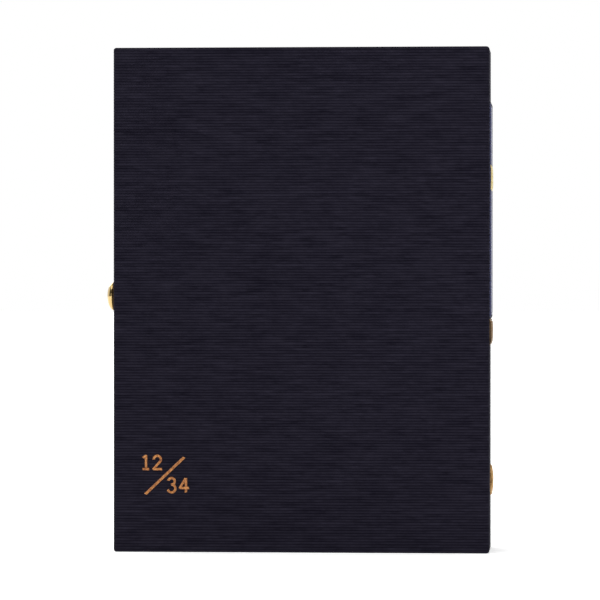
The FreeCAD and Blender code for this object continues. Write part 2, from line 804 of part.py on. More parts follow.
# Each digit is drawn in a cell 4.2 wide and 5.7 tall, from its lower left corner, and then made smaller.
DIGIT_SCALE = 0.93
DIGITS = {
    "1": [[[(1.1, 4.9), (2.3, 5.7)], [(2.3, 5.7), (2.3, 0.0)]], [[(1.0, 0.0), (3.5, 0.0)]]],
    "2": [[[(0.5, 4.3), (2.1, 5.7), (3.4, 3.5)], [(3.4, 3.5), (0.4, 0.0)], [(0.4, 0.0), (3.8, 0.0)]]],
    "3": [[[(0.6, 5.0), (3.3, 4.4), (1.9, 3.1)]], [[(1.9, 3.1), (3.6, 1.4), (0.4, 0.8)]]],
    "4": [[[(3.0, 0.0), (3.0, 5.7)]], [[(2.8, 5.7), (0.4, 1.7)], [(0.4, 1.7), (4.1, 1.7)]]],
}


def digits(label, text, x, z, y_low, y_high):
    """Two digits side by side, with the first one's cell at (x, z)."""
    faces = []
    for place_number, digit in enumerate(text):
        across = x + place_number * 4.75
        for line in DIGITS[digit]:
            runs = [[(across + u * DIGIT_SCALE, z + v * DIGIT_SCALE) for u, v in run] for run in line]
            faces.append(stroke(runs))
    return relief(label, faces, y_low, y_high)


def back_number():
    """The stitched number low on the back cover, near the fore edge: two digits, a slash, two digits."""
    x, high = left.value, back.value
    low = high - dim("thread").value
    digits("number_upper", "12", x + 10.9, 32.9, low, high)
    relief("number_slash", [stroke([[(x + 12.9, 23.1), (x + 28.1, 37.5)]])], low, high)
    digits("number_lower", "34", x + 21.4, 23.9, low, high)


def spine_ornaments():
    """Felt and stitched pieces that stand out from the spine."""
    felt_face = right + dim("felt")
    over_face = felt_face + dim("felt_over")
    half, wide = dim("label_half"), dim("lower_half")
    heights = (dim("label_low"), dim("label_high"))
    panel = slab("spine_panel_box", (right, felt_face), (-1 * half, half), heights)
    keep(rounded("spine_panel_round", panel, 2.0, along_x), "spine_felt_panel")
    z = dim("upper_band_low"), dim("upper_band_high")
    keep(slab("spine_upper_box", (felt_face, over_face), (-1 * half, half), z), "spine_upper_band")
    z = dim("lower_band_low"), dim("lower_band_high")
    lower = slab("spine_lower_box", (right, over_face), (-1 * wide, wide), z)
    keep(rounded("spine_lower_round", lower, 1.5, along_x), "spine_lower_band")
    centre = (0.0, dim("roundel_up"))
    outer = right + dim("roundel_thick")
    keep(rod("spine_disc", "X", dim("roundel_radius"), right, outer, centre), "spine_roundel")


def along_x(edge):
    box = edge.BoundBox
    return box.YLength < 1e-6 and box.ZLength < 1e-6


def front_ornaments():
    """A stitched border, a felt disc and an eight-pointed felt star on the front cover."""
    y = front.value
    felt_face = y + dim("felt").value
    inset, line = 9.0, 1.2
    x_low, x_high = left.value + inset, cover_end.value - inset + 2.0
    z_low, z_high = inset, top.value - inset
    outer = Part.Face(Part.makePolygon(corner_points(x_low, x_high, z_low, z_high)))
    inner = corner_points(x_low + line, x_high - line, z_low + line, z_high - line)
    hole = Part.Face(Part.makePolygon(inner))
    relief("front_border", [outer.cut(hole)], y, y + 0.4)
    centre_x, centre_z, radius = (x_low + x_high) * 0.5, 118.0, 29.0
    disc = Part.Face(Part.Wire(Part.makeCircle(radius, FreeCAD.Vector(centre_x, centre_z, 0))))
    relief("front_felt_disc", [disc], y, felt_face)
    star = Part.Face(Part.makePolygon(star_points(centre_x, centre_z, radius)))
    relief("front_felt_star", [star], felt_face, felt_face + dim("felt_over").value)


def corner_points(x_low, x_high, z_low, z_high):
    corners = [(x_low, z_low), (x_high, z_low), (x_high, z_high), (x_low, z_high), (x_low, z_low)]
    return [FreeCAD.Vector(x, z, 0) for x, z in corners]


def star_points(x, z, radius):
    """Eight points, the four main ones longer, with a waist between each two."""
    points = []
    for i in range(17):
        angle = math.radians(90 + i * 22.5)
        reach = radius * (0.27 if i % 2 else 0.86 if i % 4 == 0 else 0.56)
        points.append(FreeCAD.Vector(x + reach * math.cos(angle), z + reach * math.sin(angle), 0))
    points[-1] = points[0]
    return points


# ---------------------------------------------------------------- the assembly


def check():
    """Stops the build on a failed object, or on a sub-part that is null, invalid or not solid."""
    doc.recompute()
    for obj in doc.Objects:
        if "Invalid" in obj.State or "Error" in obj.State:
            raise RuntimeError(f"{obj.Name} failed: {obj.State}")
    for piece in pieces:
        shape = piece.Shape
        if shape.isNull() or not shape.isValid() or not shape.Solids:
            raise RuntimeError(f"{piece.Label} has no valid solid")


def write():
    os.makedirs("parts", exist_ok=True)
    for piece in pieces:
        piece.Shape.exportStep(f"parts/{piece.Label}.step")
        print(f"{piece.Label:20s} {len(piece.Shape.Solids):3d} solids {piece.Shape.Volume:10.1f} mm3")


back_cover()
front_leaf_drill = front_cover()
spine_leaf_drill = spine()
joint()
hinge(spine_leaf_drill, front_leaf_drill)
catch_drill = catch_leaf()
keeper_drill = keeper()
housing_drill = housing()
bezel_hole = rod("bezel_hole", "X", dim("tube_radius"), edge_x, inside_x, (button_y, button_z))
inner_fixings = fused("inner_fixings", [catch_drill, housing_drill])
halves(bezel_hole, inner_fixings, keeper_drill)
push_button()
back_number()
spine_ornaments()
front_ornaments()
check()
write()
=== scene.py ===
"""Looks of a cloth-covered hard case in the shape of a book, with a brass button catch and a spine hinge.

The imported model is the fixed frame. Each sub-assembly below is a class: it makes its own meshes around that
frame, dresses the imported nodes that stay, and says which body each piece rides on.
"""
from __future__ import annotations

import json
import logging
import math
from contextlib import contextmanager
from dataclasses import dataclass, field
from enum import Enum
from typing import Any, Iterable, Iterator, Sequence

import bmesh
import bpy
import numpy as np
from mathutils import Matrix, Vector


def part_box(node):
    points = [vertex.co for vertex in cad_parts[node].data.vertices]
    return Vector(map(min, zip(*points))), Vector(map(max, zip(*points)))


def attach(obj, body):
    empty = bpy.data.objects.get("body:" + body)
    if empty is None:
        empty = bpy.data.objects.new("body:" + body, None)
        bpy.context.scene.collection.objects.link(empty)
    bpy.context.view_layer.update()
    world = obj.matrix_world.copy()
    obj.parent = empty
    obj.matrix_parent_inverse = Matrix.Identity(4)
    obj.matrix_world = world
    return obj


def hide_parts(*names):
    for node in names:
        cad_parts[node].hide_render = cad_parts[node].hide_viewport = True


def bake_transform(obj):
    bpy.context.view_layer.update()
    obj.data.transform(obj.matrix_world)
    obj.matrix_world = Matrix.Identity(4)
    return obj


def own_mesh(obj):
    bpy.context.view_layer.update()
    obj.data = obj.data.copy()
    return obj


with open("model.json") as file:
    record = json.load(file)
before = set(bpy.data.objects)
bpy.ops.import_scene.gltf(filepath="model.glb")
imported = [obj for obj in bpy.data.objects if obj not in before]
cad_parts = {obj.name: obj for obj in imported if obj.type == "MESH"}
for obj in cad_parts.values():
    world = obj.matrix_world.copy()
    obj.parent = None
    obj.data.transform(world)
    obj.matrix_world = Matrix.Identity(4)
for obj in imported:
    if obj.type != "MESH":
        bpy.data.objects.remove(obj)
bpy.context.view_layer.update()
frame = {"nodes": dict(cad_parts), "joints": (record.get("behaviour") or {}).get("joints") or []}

MM = 0.001
MADE: dict[str, bpy.types.Material] = {}
NEAR = 0.01 * MM
STRAY = 0.02 * MM
# Where grid lines fall on a rounded edge, as shares of its radius.
EASE = np.array([0.0, 0.22, 0.45, 0.72, 1.0])
log = logging.getLogger("book_case")

Point = tuple[float, float, float]
Flat = tuple[float, float]
Colour = tuple[float, float, float]


# ---------------------------------------------------------------- shader and geometry benches


class Signal:
    """A node's output, with the arithmetic that the finishes are written in."""

    def __init__(self, bench: "Bench", socket: bpy.types.NodeSocket) -> None:
        """Keeps the socket and the bench that its Math nodes are added to."""
        self.bench = bench
        self.socket = socket

    def math(self, operation: str, *others: "Signal | float") -> "Signal":
        """One Math node with this signal as its first input.

        Args:
            operation: the node's operation.
            others: its second and third inputs.

        Returns:
            The node's output.
        """
        values = dict(enumerate((self, *others)))
        return self.bench.signal("ShaderNodeMath", {"operation": operation}, values)

    def __add__(self, other: "Signal | float") -> "Signal":
        """self + other."""
        return self.math("ADD", other)

    __radd__ = __add__

    def __sub__(self, other: "Signal | float") -> "Signal":
        """self - other."""
        return self.math("SUBTRACT", other)

    def __rsub__(self, other: float) -> "Signal":
        """other - self."""
        return (self * -1.0) + other

    def __mul__(self, other: "Signal | float") -> "Signal":
        """self * other."""
        return self.math("MULTIPLY", other)

    __rmul__ = __mul__

    def __truediv__(self, other: float) -> "Signal":
        """self / other."""
        return self.math("DIVIDE", other)

    def __abs__(self) -> "Signal":
        """The signal without its sign."""
        return self.math("ABSOLUTE")

    def bump(self) -> "Signal":
        """A rounded ridge for every whole step of the signal: 0 at whole numbers and 1 half way between."""
        return abs((self * math.pi).math("SINE"))


class Bench:
    """Adds nodes to one tree, for a material or for Geometry Nodes."""

    def __init__(self, tree: bpy.types.NodeTree) -> None:
        """Clears the tree."""
        self.tree = tree
        tree.nodes.clear()

    def add(self, kind: str, settings: dict[str, Any] | None = None,
            values: dict[Any, Any] | None = None) -> bpy.types.Node:
        """Adds one node.

        Args:
            kind: the node's type name.
            settings: its properties, set first.
            values: what its sockets hold, by name or index: a number, a colour, a socket or a Signal.

        Returns:
            The node.
        """
        node = self.tree.nodes.new(kind)
        for name, value in (settings or {}).items():
            setattr(node, name, value)
        for key, value in (values or {}).items():
            self.plug(value, node.inputs[key])
        return node

    def plug(self, value: Any, socket: bpy.types.NodeSocket) -> None:
        """Links value to the socket, or sets it as the socket's own value."""
        if isinstance(value, Signal):
            value = value.socket
        if isinstance(value, bpy.types.NodeSocket):
            self.tree.links.new(value, socket)
        elif isinstance(value, tuple) and len(value) == 3 and socket.type == "RGBA":
            socket.default_value = (*value, 1.0)
        else:
            socket.default_value = value

    def signal(self, kind: str, settings: dict[str, Any] | None = None,
               values: dict[Any, Any] | None = None, output: int | str = 0) -> Signal:
        """Adds one node and gives one of its outputs."""
        return Signal(self, self.add(kind, settings, values).outputs[output])

    def mix(self, factor: Signal | float, low: Any, high: Any) -> Signal:
        """A colour between low and high."""
        return self.signal("ShaderNodeMix", {"data_type": "RGBA", "clamp_factor": True},
                           {0: factor, 6: low, 7: high}, 2)

    def noise(self, place: Signal, scale: float, detail: float = 3.0, roughness: float = 0.55) -> Signal:
        """Noise around 0.5 at a place."""
        values = {"Vector": place, "Scale": scale, "Detail": detail, "Roughness": roughness}
        return self.signal("ShaderNodeTexNoise", {}, values, 0)


class Place:
    """The Object coordinates of a material, and two that follow the cloth on every side of the case."""

    def __init__(self, bench: Bench) -> None:
        """Adds the coordinate nodes."""
        self.bench = bench
        self.whole = bench.signal("ShaderNodeTexCoord", {}, {}, "Object")
        parts = bench.add("ShaderNodeSeparateXYZ", {}, {0: self.whole})
        self.x, self.y, self.z = (Signal(bench, parts.outputs[i]) for i in range(3))
        normal = bench.add("ShaderNodeNewGeometry").outputs["Normal"]
        facing = Signal(bench, bench.add("ShaderNodeSeparateXYZ", {}, {0: normal}).outputs[2])
        level = abs(facing).math("GREATER_THAN", 0.75)
        self.up = self.z * (1.0 - level) + self.y * level
        self.along = self.x + self.y * (1.0 - level)

    def stretched(self, along: float, up: float) -> Signal:
        """A place whose two cloth directions are scaled apart, for streaks and threads."""
        return self.bench.signal("ShaderNodeCombineXYZ", {}, {0: self.along * along, 1: self.up * up})


@dataclass(frozen=True)
class Finish:
    """What every finish has: a name, and one material that all its pieces share."""

    name: str

    def material(self) -> bpy.types.Material:
        """Gives the finish's material, making it on first use."""
        made = MADE.get(self.name)
        if made is None:
            made = MADE[self.name] = bpy.data.materials.new(self.name)
            made.use_nodes = True
            bench = Bench(made.node_tree)
            shader = bench.add("ShaderNodeBsdfPrincipled")
            self.dress(bench, Place(bench), shader)
            bench.add("ShaderNodeOutputMaterial", {}, {"Surface": shader.outputs[0]})
        return made

    def dress(self, bench: Bench, place: Place, shader: bpy.types.Node) -> None:
        """Sets the shader's sockets. Each finish has its own."""
        raise NotImplementedError

    @staticmethod
    def surface(bench: Bench, shader: bpy.types.Node, **values: Any) -> None:
        """Links a signal to each socket named here, or sets the socket's own value."""
        for name, value in values.items():
            bench.plug(value, shader.inputs[name.replace("_", " ")])

    @staticmethod
    def relief(bench: Bench, shader: bpy.types.Node, height: Signal, depth: float,
               strength: float = 1.0) -> None:
        """Raises the surface by height, with depth in metres for a height of 1."""
        values = {"Strength": strength, "Distance": depth, "Height": height}
        Finish.surface(bench, shader, Normal=bench.signal("ShaderNodeBump", {}, values))


@dataclass(frozen=True)
class RibbedCanvas(Finish):
    """Cotton canvas whose thick weft makes ribs across the cover."""

    # ground is the dark end, reached in the hollows between ribs as painted shade and on dark yarn; the light
    # end is the painted highlight on the rib crests.
    ground: Colour
    crest_highlight: Colour
    pitch: float = 1.11 * MM
    warp: float = 0.62 * MM
    relief_depth: float = 0.10 * MM

    def dress(self, bench: Bench, place: Place, shader: bpy.types.Node) -> None:
        """Ribs with a painted highlight on each crest and painted shade in the hollows between them, the warp
        that crosses them, thick and thin stretches of yarn, and a dry sheen.
        """
        drift = bench.noise(place.stretched(55.0, 260.0), 1.0, 2.0) - 0.5
        phase = place.up / self.pitch + drift * 0.30
        rib = phase.bump()
        row = phase.math("FLOOR")
        crossing = (place.along / self.warp + row * 0.5 + drift * 0.6).bump()
        yarn = self.by_row(bench, place, row * 7.31, 330.0)
        slub = self.by_row(bench, place, row * 3.17, 75.0)
        fuzz = bench.noise(place.whole, 5200.0, 2.0, 0.7)
        worn = bench.noise(place.stretched(9.0, 26.0), 1.0, 3.0)
        # The rib term paints a highlight on each rib's crest, brighter where the warp crosses, and shade in
        # the hollows between ribs; yarn, slub and worn add random tone.
        lit = (rib * (0.12 + yarn * 0.75) * (0.7 + crossing * 0.3) + (slub - 0.5) * 0.95 + (worn - 0.5) * 0.2
               + 0.12)
        colour = bench.mix(lit, self.ground, self.crest_highlight)
        roughness = 0.93 - rib * 0.13 + (fuzz * 0.05 - 0.02)
        self.surface(bench, shader, Base_Color=colour, Roughness=roughness, Specular_IOR_Level=0.06,
                     Sheen_Weight=0.02, Sheen_Roughness=0.35, Sheen_Tint=(0.42, 0.46, 0.85))
        height = rib * (0.55 + yarn * 0.6) * (0.82 + crossing * 0.18) + fuzz * 0.22
        self.relief(bench, shader, height, self.relief_depth)

    @staticmethod
    def by_row(bench: Bench, place: Place, row: Signal, scale: float) -> Signal:
        """Noise that runs along each yarn and starts afresh on the next."""
        return bench.noise(bench.signal("ShaderNodeCombineXYZ", {}, {0: place.along * scale, 1: row}), 1.0,
                           2.0, 0.6)


@dataclass(frozen=True)
class SatinThread(Finish):
    """Embroidery thread: every stitch has its own tone, from the attribute that the stitching stores."""

    dark: Colour
    light: Colour
    roughness: float = 0.36

    def dress(self, bench: Bench, place: Place, shader: bpy.types.Node) -> None:
        """Tone by stitch, fine fibres, and a silky gloss."""
        tone = bench.signal("ShaderNodeAttribute", {"attribute_name": "tone"}, {}, "Fac")
        fibre = bench.noise(place.whole, 2600.0, 2.0, 0.6)
        patch = bench.noise(place.whole, 1000.0, 2.0, 0.6)
        colour = bench.mix(tone * 0.45 + fibre * 0.3 + (patch - 0.5) * 1.9 + 0.12, self.dark, self.light)
        self.surface(bench, shader, Base_Color=colour, Roughness=fibre * 0.2 + (self.roughness - 0.08),
                     Specular_IOR_Level=0.5, Sheen_Weight=0.25, Sheen_Roughness=0.3)
        self.relief(bench, shader, bench.noise(place.whole, 5200.0, 1.0), 0.03 * MM)


@dataclass(frozen=True)
class WoolFelt(Finish):
    """Pressed wool, with short fibres lying every way."""

    dark: Colour
    light: Colour

    def dress(self, bench: Bench, place: Place, shader: bpy.types.Node) -> None:
        """Mottled fibres and a soft sheen."""
        twist = bench.signal("ShaderNodeTexNoise", {},
                             {"Vector": place.whole, "Scale": 420.0, "Detail": 2.0}, 1)
        bent = bench.signal("ShaderNodeMix", {"data_type": "VECTOR"}, {0: 0.004, 4: place.whole, 5: twist},
                            1)
        fibre = bench.noise(bent, 1500.0, 5.0, 0.7)
        mottle = bench.noise(place.whole, 150.0, 3.0)
        colour = bench.mix(fibre * 0.9 + mottle * 0.5 - 0.2, self.dark, self.light)
        self.surface(bench, shader, Base_Color=colour, Roughness=fibre * 0.1 + 0.88,
                     Specular_IOR_Level=0.15, Sheen_Weight=0.45, Sheen_Roughness=0.55)
        self.relief(bench, shader, fibre + mottle * 0.5, 0.22 * MM)


@dataclass(frozen=True)
class Metal(Finish):
    """A metal with faint handling marks, from mirror polish to a drawn grain."""

    base: Colour
    worn: Colour
    roughness: float
    spread: float
    grain: float = 0.0

    def dress(self, bench: Bench, place: Place, shader: bpy.types.Node) -> None:
        """Smudges in the gloss, slight tarnish in the colour, and the grain if it has one."""
        smudge = bench.noise(place.whole, 130.0, 4.0, 0.6)
        speck = bench.noise(place.whole, 900.0, 3.0, 0.6)
        colour = bench.mix(smudge * 1.3 - 0.35, self.base, self.worn)
        roughness = smudge * self.spread + speck * (self.spread * 0.4) + self.roughness
        self.surface(bench, shader, Base_Color=colour, Roughness=roughness, Metallic=1.0)
        streak = bench.noise(place.stretched(160.0, 5200.0), 1.0, 3.0)
        self.relief(bench, shader, streak * self.grain + speck * 0.05, 0.02 * MM, 0.6)


@dataclass(frozen=True)
class PageCloth(Finish):
    """Cream corded cloth that stands for the edges of the leaves, with fine lines along the book."""

    base: Colour
    shade: Colour
    leaf: float = 0.31 * MM

    def dress(self, bench: Bench, place: Place, shader: bpy.types.Node) -> None:
        """One thin line for each leaf, uneven in tone."""
        drift = bench.noise(place.whole, 90.0, 2.0) - 0.5
        sheet = place.y / self.leaf + drift * 0.5
        line = sheet.bump()
        row = sheet.math("FLOOR") * 5.17
        streak_place = bench.signal("ShaderNodeCombineXYZ", {},
                                    {0: place.x * 60.0 + place.z * 60.0, 1: row})
        streak = bench.noise(streak_place, 1.0, 3.0, 0.6)
        soil = bench.noise(place.whole, 35.0, 4.0)
        tone = (1.0 - line) * 0.42 + streak * 0.5 + soil * 0.22 - 0.22
        self.surface(bench, shader, Base_Color=bench.mix(tone, self.base, self.shade),
                     Roughness=streak * 0.12 + 0.72, Specular_IOR_Level=0.25, Sheen_Weight=0.12)
        self.relief(bench, shader, line + streak * 0.3, 0.06 * MM)


@dataclass(frozen=True)
class SprigLining(Finish):
    """Plain-woven lining cotton with a small regular dot."""

    ground: Colour
    dot: Colour
    pitch: float = 7.0 * MM
    radius: float = 0.13
    yarn: float = 0.42 * MM

    def dress(self, bench: Bench, place: Place, shader: bpy.types.Node) -> None:
        """Dots on two offset grids, over a fine weave."""
        cells = []
        for shift in (0.0, 0.5):
            across = (place.along / self.pitch + shift).math("FRACT") - 0.5
            upward = (place.up / self.pitch + shift).math("FRACT") - 0.5
            reach = (across * across + upward * upward).math("SQRT")
            cells.append(reach.math("LESS_THAN", self.radius))
        dots = cells[0].math("MAXIMUM", cells[1])
        warp = (place.along / self.yarn).bump()
        weft = (place.up / self.yarn).bump()
        thread = warp * 0.5 + weft * 0.5
        cloud = bench.noise(place.whole, 60.0, 3.0)
        shade = tuple(c * 0.72 for c in self.ground)
        ground = bench.mix(thread * 0.6 + cloud * 0.4, shade, self.ground)
        self.surface(bench, shader, Base_Color=bench.mix(dots * 0.92, ground, self.dot),
                     Roughness=0.86 - dots * 0.12, Specular_IOR_Level=0.2, Sheen_Weight=0.15)
        self.relief(bench, shader, thread + dots * 0.2 + cloud * 0.6, 0.05 * MM)


@dataclass(frozen=True)
class Fibreboard(Finish):
    """Binder's board or moulded shell: a dull body with a fine pitted face."""

    base: Colour
    fleck: Colour
    scale: float
    roughness: float

    def dress(self, bench: Bench, place: Place, shader: bpy.types.Node) -> None:
        """Flecks and pits."""
        grain = bench.noise(place.whole, self.scale, 4.0, 0.65)
        self.surface(bench, shader, Base_Color=bench.mix(grain * 1.2 - 0.2, self.base, self.fleck),
                     Roughness=grain * 0.15 + self.roughness)
        self.relief(bench, shader, grain, 0.05 * MM)


@dataclass(frozen=True)
class Paper(Finish):
    """The pale studio floor, lit a little from below like a light table."""

    base: Colour
    glow: float

    def dress(self, bench: Bench, place: Place, shader: bpy.types.Node) -> None:
        """An even matt white with the least mottling."""
        cloud = bench.noise(place.whole, 3.0, 2.0)
        low = tuple(c * 0.985 for c in self.base)
        self.surface(bench, shader, Base_Color=bench.mix(cloud, low, self.base), Roughness=0.9,
                     Specular_IOR_Level=0.1, Emission_Color=self.base, Emission_Strength=self.glow)


# The canvas's second colour is the painted highlight on the rib crests.
CANVAS = RibbedCanvas("ribbed_canvas", (0.0026, 0.0021, 0.0062), (0.0235, 0.0210, 0.0345))
BLUE_FELT = WoolFelt("pressed_felt", (0.030, 0.035, 0.125), (0.078, 0.088, 0.235))
ORANGE_THREAD = SatinThread("orange_satin", (0.27, 0.070, 0.011), (0.74, 0.33, 0.095))
GOLD_THREAD = SatinThread("golden_satin", (0.36, 0.17, 0.045), (0.80, 0.50, 0.19))
CREAM_THREAD = SatinThread("cream_satin", (0.60, 0.44, 0.13), (0.90, 0.78, 0.40))
BRONZE_THREAD = SatinThread("bronze_satin", (0.12, 0.062, 0.022), (0.33, 0.20, 0.08))
DARK_THREAD = SatinThread("midnight_thread", (0.010, 0.010, 0.022), (0.035, 0.034, 0.060), 0.5)
POLISHED_BRASS = Metal("mirror_brass", (0.66, 0.48, 0.21), (0.52, 0.36, 0.14), 0.04, 0.08)
# Near-black brass painted as the shadow under the button's dome.
SHADOW_BRASS = Metal("painted_shadow_brass", (0.030, 0.019, 0.010), (0.075, 0.046, 0.020), 0.35, 0.2)
ROLLED_BRASS = Metal("rolled_brass", (0.70, 0.49, 0.20), (0.52, 0.35, 0.14), 0.24, 0.22, 1.0)
SPRING_STEEL = Metal("spring_steel", (0.55, 0.55, 0.57), (0.42, 0.41, 0.41), 0.22, 0.2, 1.0)
PAGE_CLOTH = PageCloth("corded_page_cloth", (0.80, 0.72, 0.55), (0.50, 0.40, 0.26))
LINING = SprigLining("lining_cotton", (0.072, 0.092, 0.190), (0.62, 0.50, 0.26))
BINDERS_BOARD = Fibreboard("binders_board", (0.22, 0.17, 0.12), (0.33, 0.27, 0.20), 700.0, 0.8)
SHELL = Fibreboard("moulded_shell", (0.022, 0.022, 0.025), (0.035, 0.035, 0.038), 1600.0, 0.5)
STUDIO_PAPER = Paper("studio_paper", (0.90, 0.90, 0.90), 0.5)


# ---------------------------------------------------------------- mesh helpers


class Side(Enum):
    """A side of the case. A flat drawing in (across, up, out) is turned onto it."""

    BACK = Matrix(((1, 0, 0, 0), (0, 0, -1, 0), (0, 1, 0, 0), (0, 0, 0, 1)))
    FRONT = Matrix(((-1, 0, 0, 0), (0, 0, 1, 0), (0, 1, 0, 0), (0, 0, 0, 1)))
    SPINE = Matrix(((0, 0, 1, 0), (1, 0, 0, 0), (0, 1, 0, 0), (0, 0, 0, 1)))

    def seat(self, origin: Vector) -> Matrix:
        """The drawing's matrix with its own origin at a point of the row frame."""
        return Matrix.Translation(origin) @ self.value


def mesh_object(name: str, points: Any, faces: Iterable[Sequence[int]],
                finish: Finish | None = None) -> bpy.types.Object:
    """Makes a mesh object at the origin.

    Args:
        name: the piece's name.
        points: its vertices in metres.
        faces: its faces, as vertex numbers.
        finish: what it is made of.

    Returns:
        The object, linked to the scene and shaded smooth.
    """
    mesh = bpy.data.meshes.new(name)
    mesh.from_pydata([tuple(map(float, p)) for p in points], [], [tuple(map(int, f)) for f in faces])
    mesh.shade_smooth()
    if finish:
        mesh.materials.append(finish.material())
    made = bpy.data.objects.new(name, mesh)
    bpy.context.scene.collection.objects.link(made)
    return made


def settle(piece: bpy.types.Object, body: str, slot: str, *nodes: str) -> bpy.types.Object:
    """Rides a finished piece on its body, hides the imported nodes that it stands for, and logs its face
    count.
    """
    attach(piece, body)
    if nodes:
        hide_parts(*nodes)
    log.info("%s: %d faces, on %s", piece.name, len(piece.data.polygons), body)
    return piece


def applied(piece: bpy.types.Object) -> bpy.types.Object:
    """Turns the piece's modifiers into plain mesh and removes them."""
    graph = bpy.context.evaluated_depsgraph_get()
    graph.update()
    mesh = bpy.data.meshes.new_from_object(piece.evaluated_get(graph))
    mesh.name = piece.name
    piece.modifiers.clear()
    old = piece.data
    piece.data = mesh
    if isinstance(old, bpy.types.Mesh):
        bpy.data.meshes.remove(old)
    return piece


@contextmanager
def reworked(piece: bpy.types.Object) -> Iterator[bmesh.types.BMesh]:
    """Opens a piece's mesh for editing, and writes it back."""
    work = bmesh.new()
    work.from_mesh(piece.data)
    yield work
    work.to_mesh(piece.data)
    work.free()


def cleaned(piece: bpy.types.Object, gap: float = 1e-7, recalculate: bool = False) -> bpy.types.Object:
    """Merges doubled points, and turns the faces outwards if asked."""
    with reworked(piece) as work:
        bmesh.ops.remove_doubles(work, verts=work.verts, dist=gap)
        if recalculate:
            bmesh.ops.recalc_face_normals(work, faces=work.faces)
    return piece


def finish_node(name: str, finish: Finish) -> None:
    """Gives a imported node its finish."""
    mesh = frame["nodes"][name].data
    mesh.materials.clear()
    mesh.materials.append(finish.material())


def eased(low: float, high: float, radius: float, count: int) -> np.ndarray:
    """Grid lines from low to high, crowded into the rounded edge at each end."""
    edge = radius * EASE
    middle = np.linspace(low + radius, high - radius, count + 1)[1:-1]
    return np.concatenate([low + edge, middle, (high - edge)[::-1]])


@dataclass
class Lattice:
    """The closed surface of a block, divided by its own grid lines on each axis."""

    lines: tuple[np.ndarray, np.ndarray, np.ndarray]
    points: np.ndarray = field(init=False)
    faces: list[np.ndarray] = field(init=False)

    def __post_init__(self) -> None:
        """Lays out the surface points and the faces between them, facing outwards."""
        nx, ny, nz = (len(line) for line in self.lines)
        shell = np.zeros((nx, ny, nz), bool)
        shell[[0, -1]] = shell[:, [0, -1]] = shell[:, :, [0, -1]] = True
        where = np.argwhere(shell)
        index = np.full(shell.shape, -1)
        index[tuple(where.T)] = np.arange(len(where))
        self.points = np.stack([self.lines[a][where[:, a]] for a in range(3)], axis=1)
        self.faces = []
        for axis in range(3):
            for end, turned in ((0, axis != 1), (-1, axis == 1)):
                grid = np.take(index, end, axis=axis)
                quads = np.stack([grid[:-1, :-1], grid[1:, :-1], grid[1:, 1:], grid[:-1, 1:]],
                                 axis=-1).reshape(-1, 4)
                self.faces.append(quads[:, ::-1] if turned else quads)

    def rounded(self, radius: float) -> np.ndarray:
        """Rounds every edge of the block.

        Args:
            radius: the edges' radius.

        Returns:
            The outward direction at each point.
        """
        low = np.array([line[0] for line in self.lines]) + radius
        high = np.array([line[-1] for line in self.lines]) - radius
        core = np.clip(self.points, low, high)
        out = self.points - core
        out /= np.maximum(np.linalg.norm(out, axis=1, keepdims=True), 1e-12)
        self.points = core + out * radius
        return out

    def piece(self, name: str, finish: Finish) -> bpy.types.Object:
        """Makes the mesh object, with any collapsed points merged."""
        return cleaned(mesh_object(name, self.points, np.concatenate(self.faces), finish))


def ring_faces(rings: int, count: int, wrapped: bool = False) -> list[list[int]]:
    """The faces of a tube.

    Args:
        rings: how many rings of points it has.
        count: how many points each ring has.
        wrapped: True where the last ring joins the first, and False where both ends are capped.

    Returns:
        The faces, as vertex numbers.
    """
    faces: list[list[int]] = []
    for i in range(rings if wrapped else rings - 1):
        this, after = i * count, (i + 1) % rings * count
        for j in range(count):
            k = (j + 1) % count
            faces.append([this + j, this + k, after + k, after + j])
    if not wrapped:
        last = (rings - 1) * count
        faces += [list(range(count))[::-1], list(range(last, last + count))]
    return faces


def swept(name: str, path: np.ndarray, normals: np.ndarray, profile: Sequence[Flat],
          finish: Finish) -> bpy.types.Object:
    """Sweeps a closed profile along a path that lies square to Y, and closes its ends.

    Args:
        name: the piece's name.
        path: points (x, z) along the path.
        normals: the outward direction (x, z) at each, longer than 1 in a mitre.
        profile: points (out, y), in order around the section.
        finish: what it is made of.

    Returns:
        The object.
    """
    section = np.array(profile)
    rings = []
    for place, out in zip(path, normals):
        flat = place + np.outer(section[:, 0], out)
        rings.append(np.column_stack([flat[:, 0], section[:, 1], flat[:, 1]]))
    faces = ring_faces(len(rings), len(section))
    return cleaned(mesh_object(name, np.concatenate(rings), faces, finish), 1e-8, True)


def slab(name: str, outline: Sequence[Flat], thick: float, edge: float, seat: Matrix,
         finish: Finish) -> bpy.types.Object:
    """A soft flat shape with a rounded upper edge.

    Args:
        name: the piece's name.
        outline: its outline in (across, up), anticlockwise.
        thick: how far it stands out.
        edge: the radius of its upper edge.
        seat: where the flat drawing goes.
        finish: what it is made of.

    Returns:
        The object.
    """
    flat = np.array(outline)
    ahead, behind = np.roll(flat, -1, 0) - flat, flat - np.roll(flat, 1, 0)
    ahead /= np.linalg.norm(ahead, axis=1, keepdims=True)
    behind /= np.linalg.norm(behind, axis=1, keepdims=True)
    inward = np.column_stack([-(ahead + behind)[:, 1], (ahead + behind)[:, 0]])
    inward /= np.maximum((inward**2).sum(1, keepdims=True) / 2, 0.3)
    rings = [np.column_stack([flat, np.zeros(len(flat))])]
    for turn in np.linspace(0.0, math.pi / 2, 5):
        inset, height = edge * (1 - math.cos(turn)), thick - edge * (1 - math.sin(turn))
        rings.append(np.column_stack([flat + inward * inset, np.full(len(flat), height)]))
    made = mesh_object(name, np.concatenate(rings), ring_faces(len(rings), len(flat)), finish)
    with reworked(made) as work:
        bmesh.ops.triangulate(work, faces=[f for f in work.faces if len(f.verts) > 4])
    made.data.transform(seat)
    return made


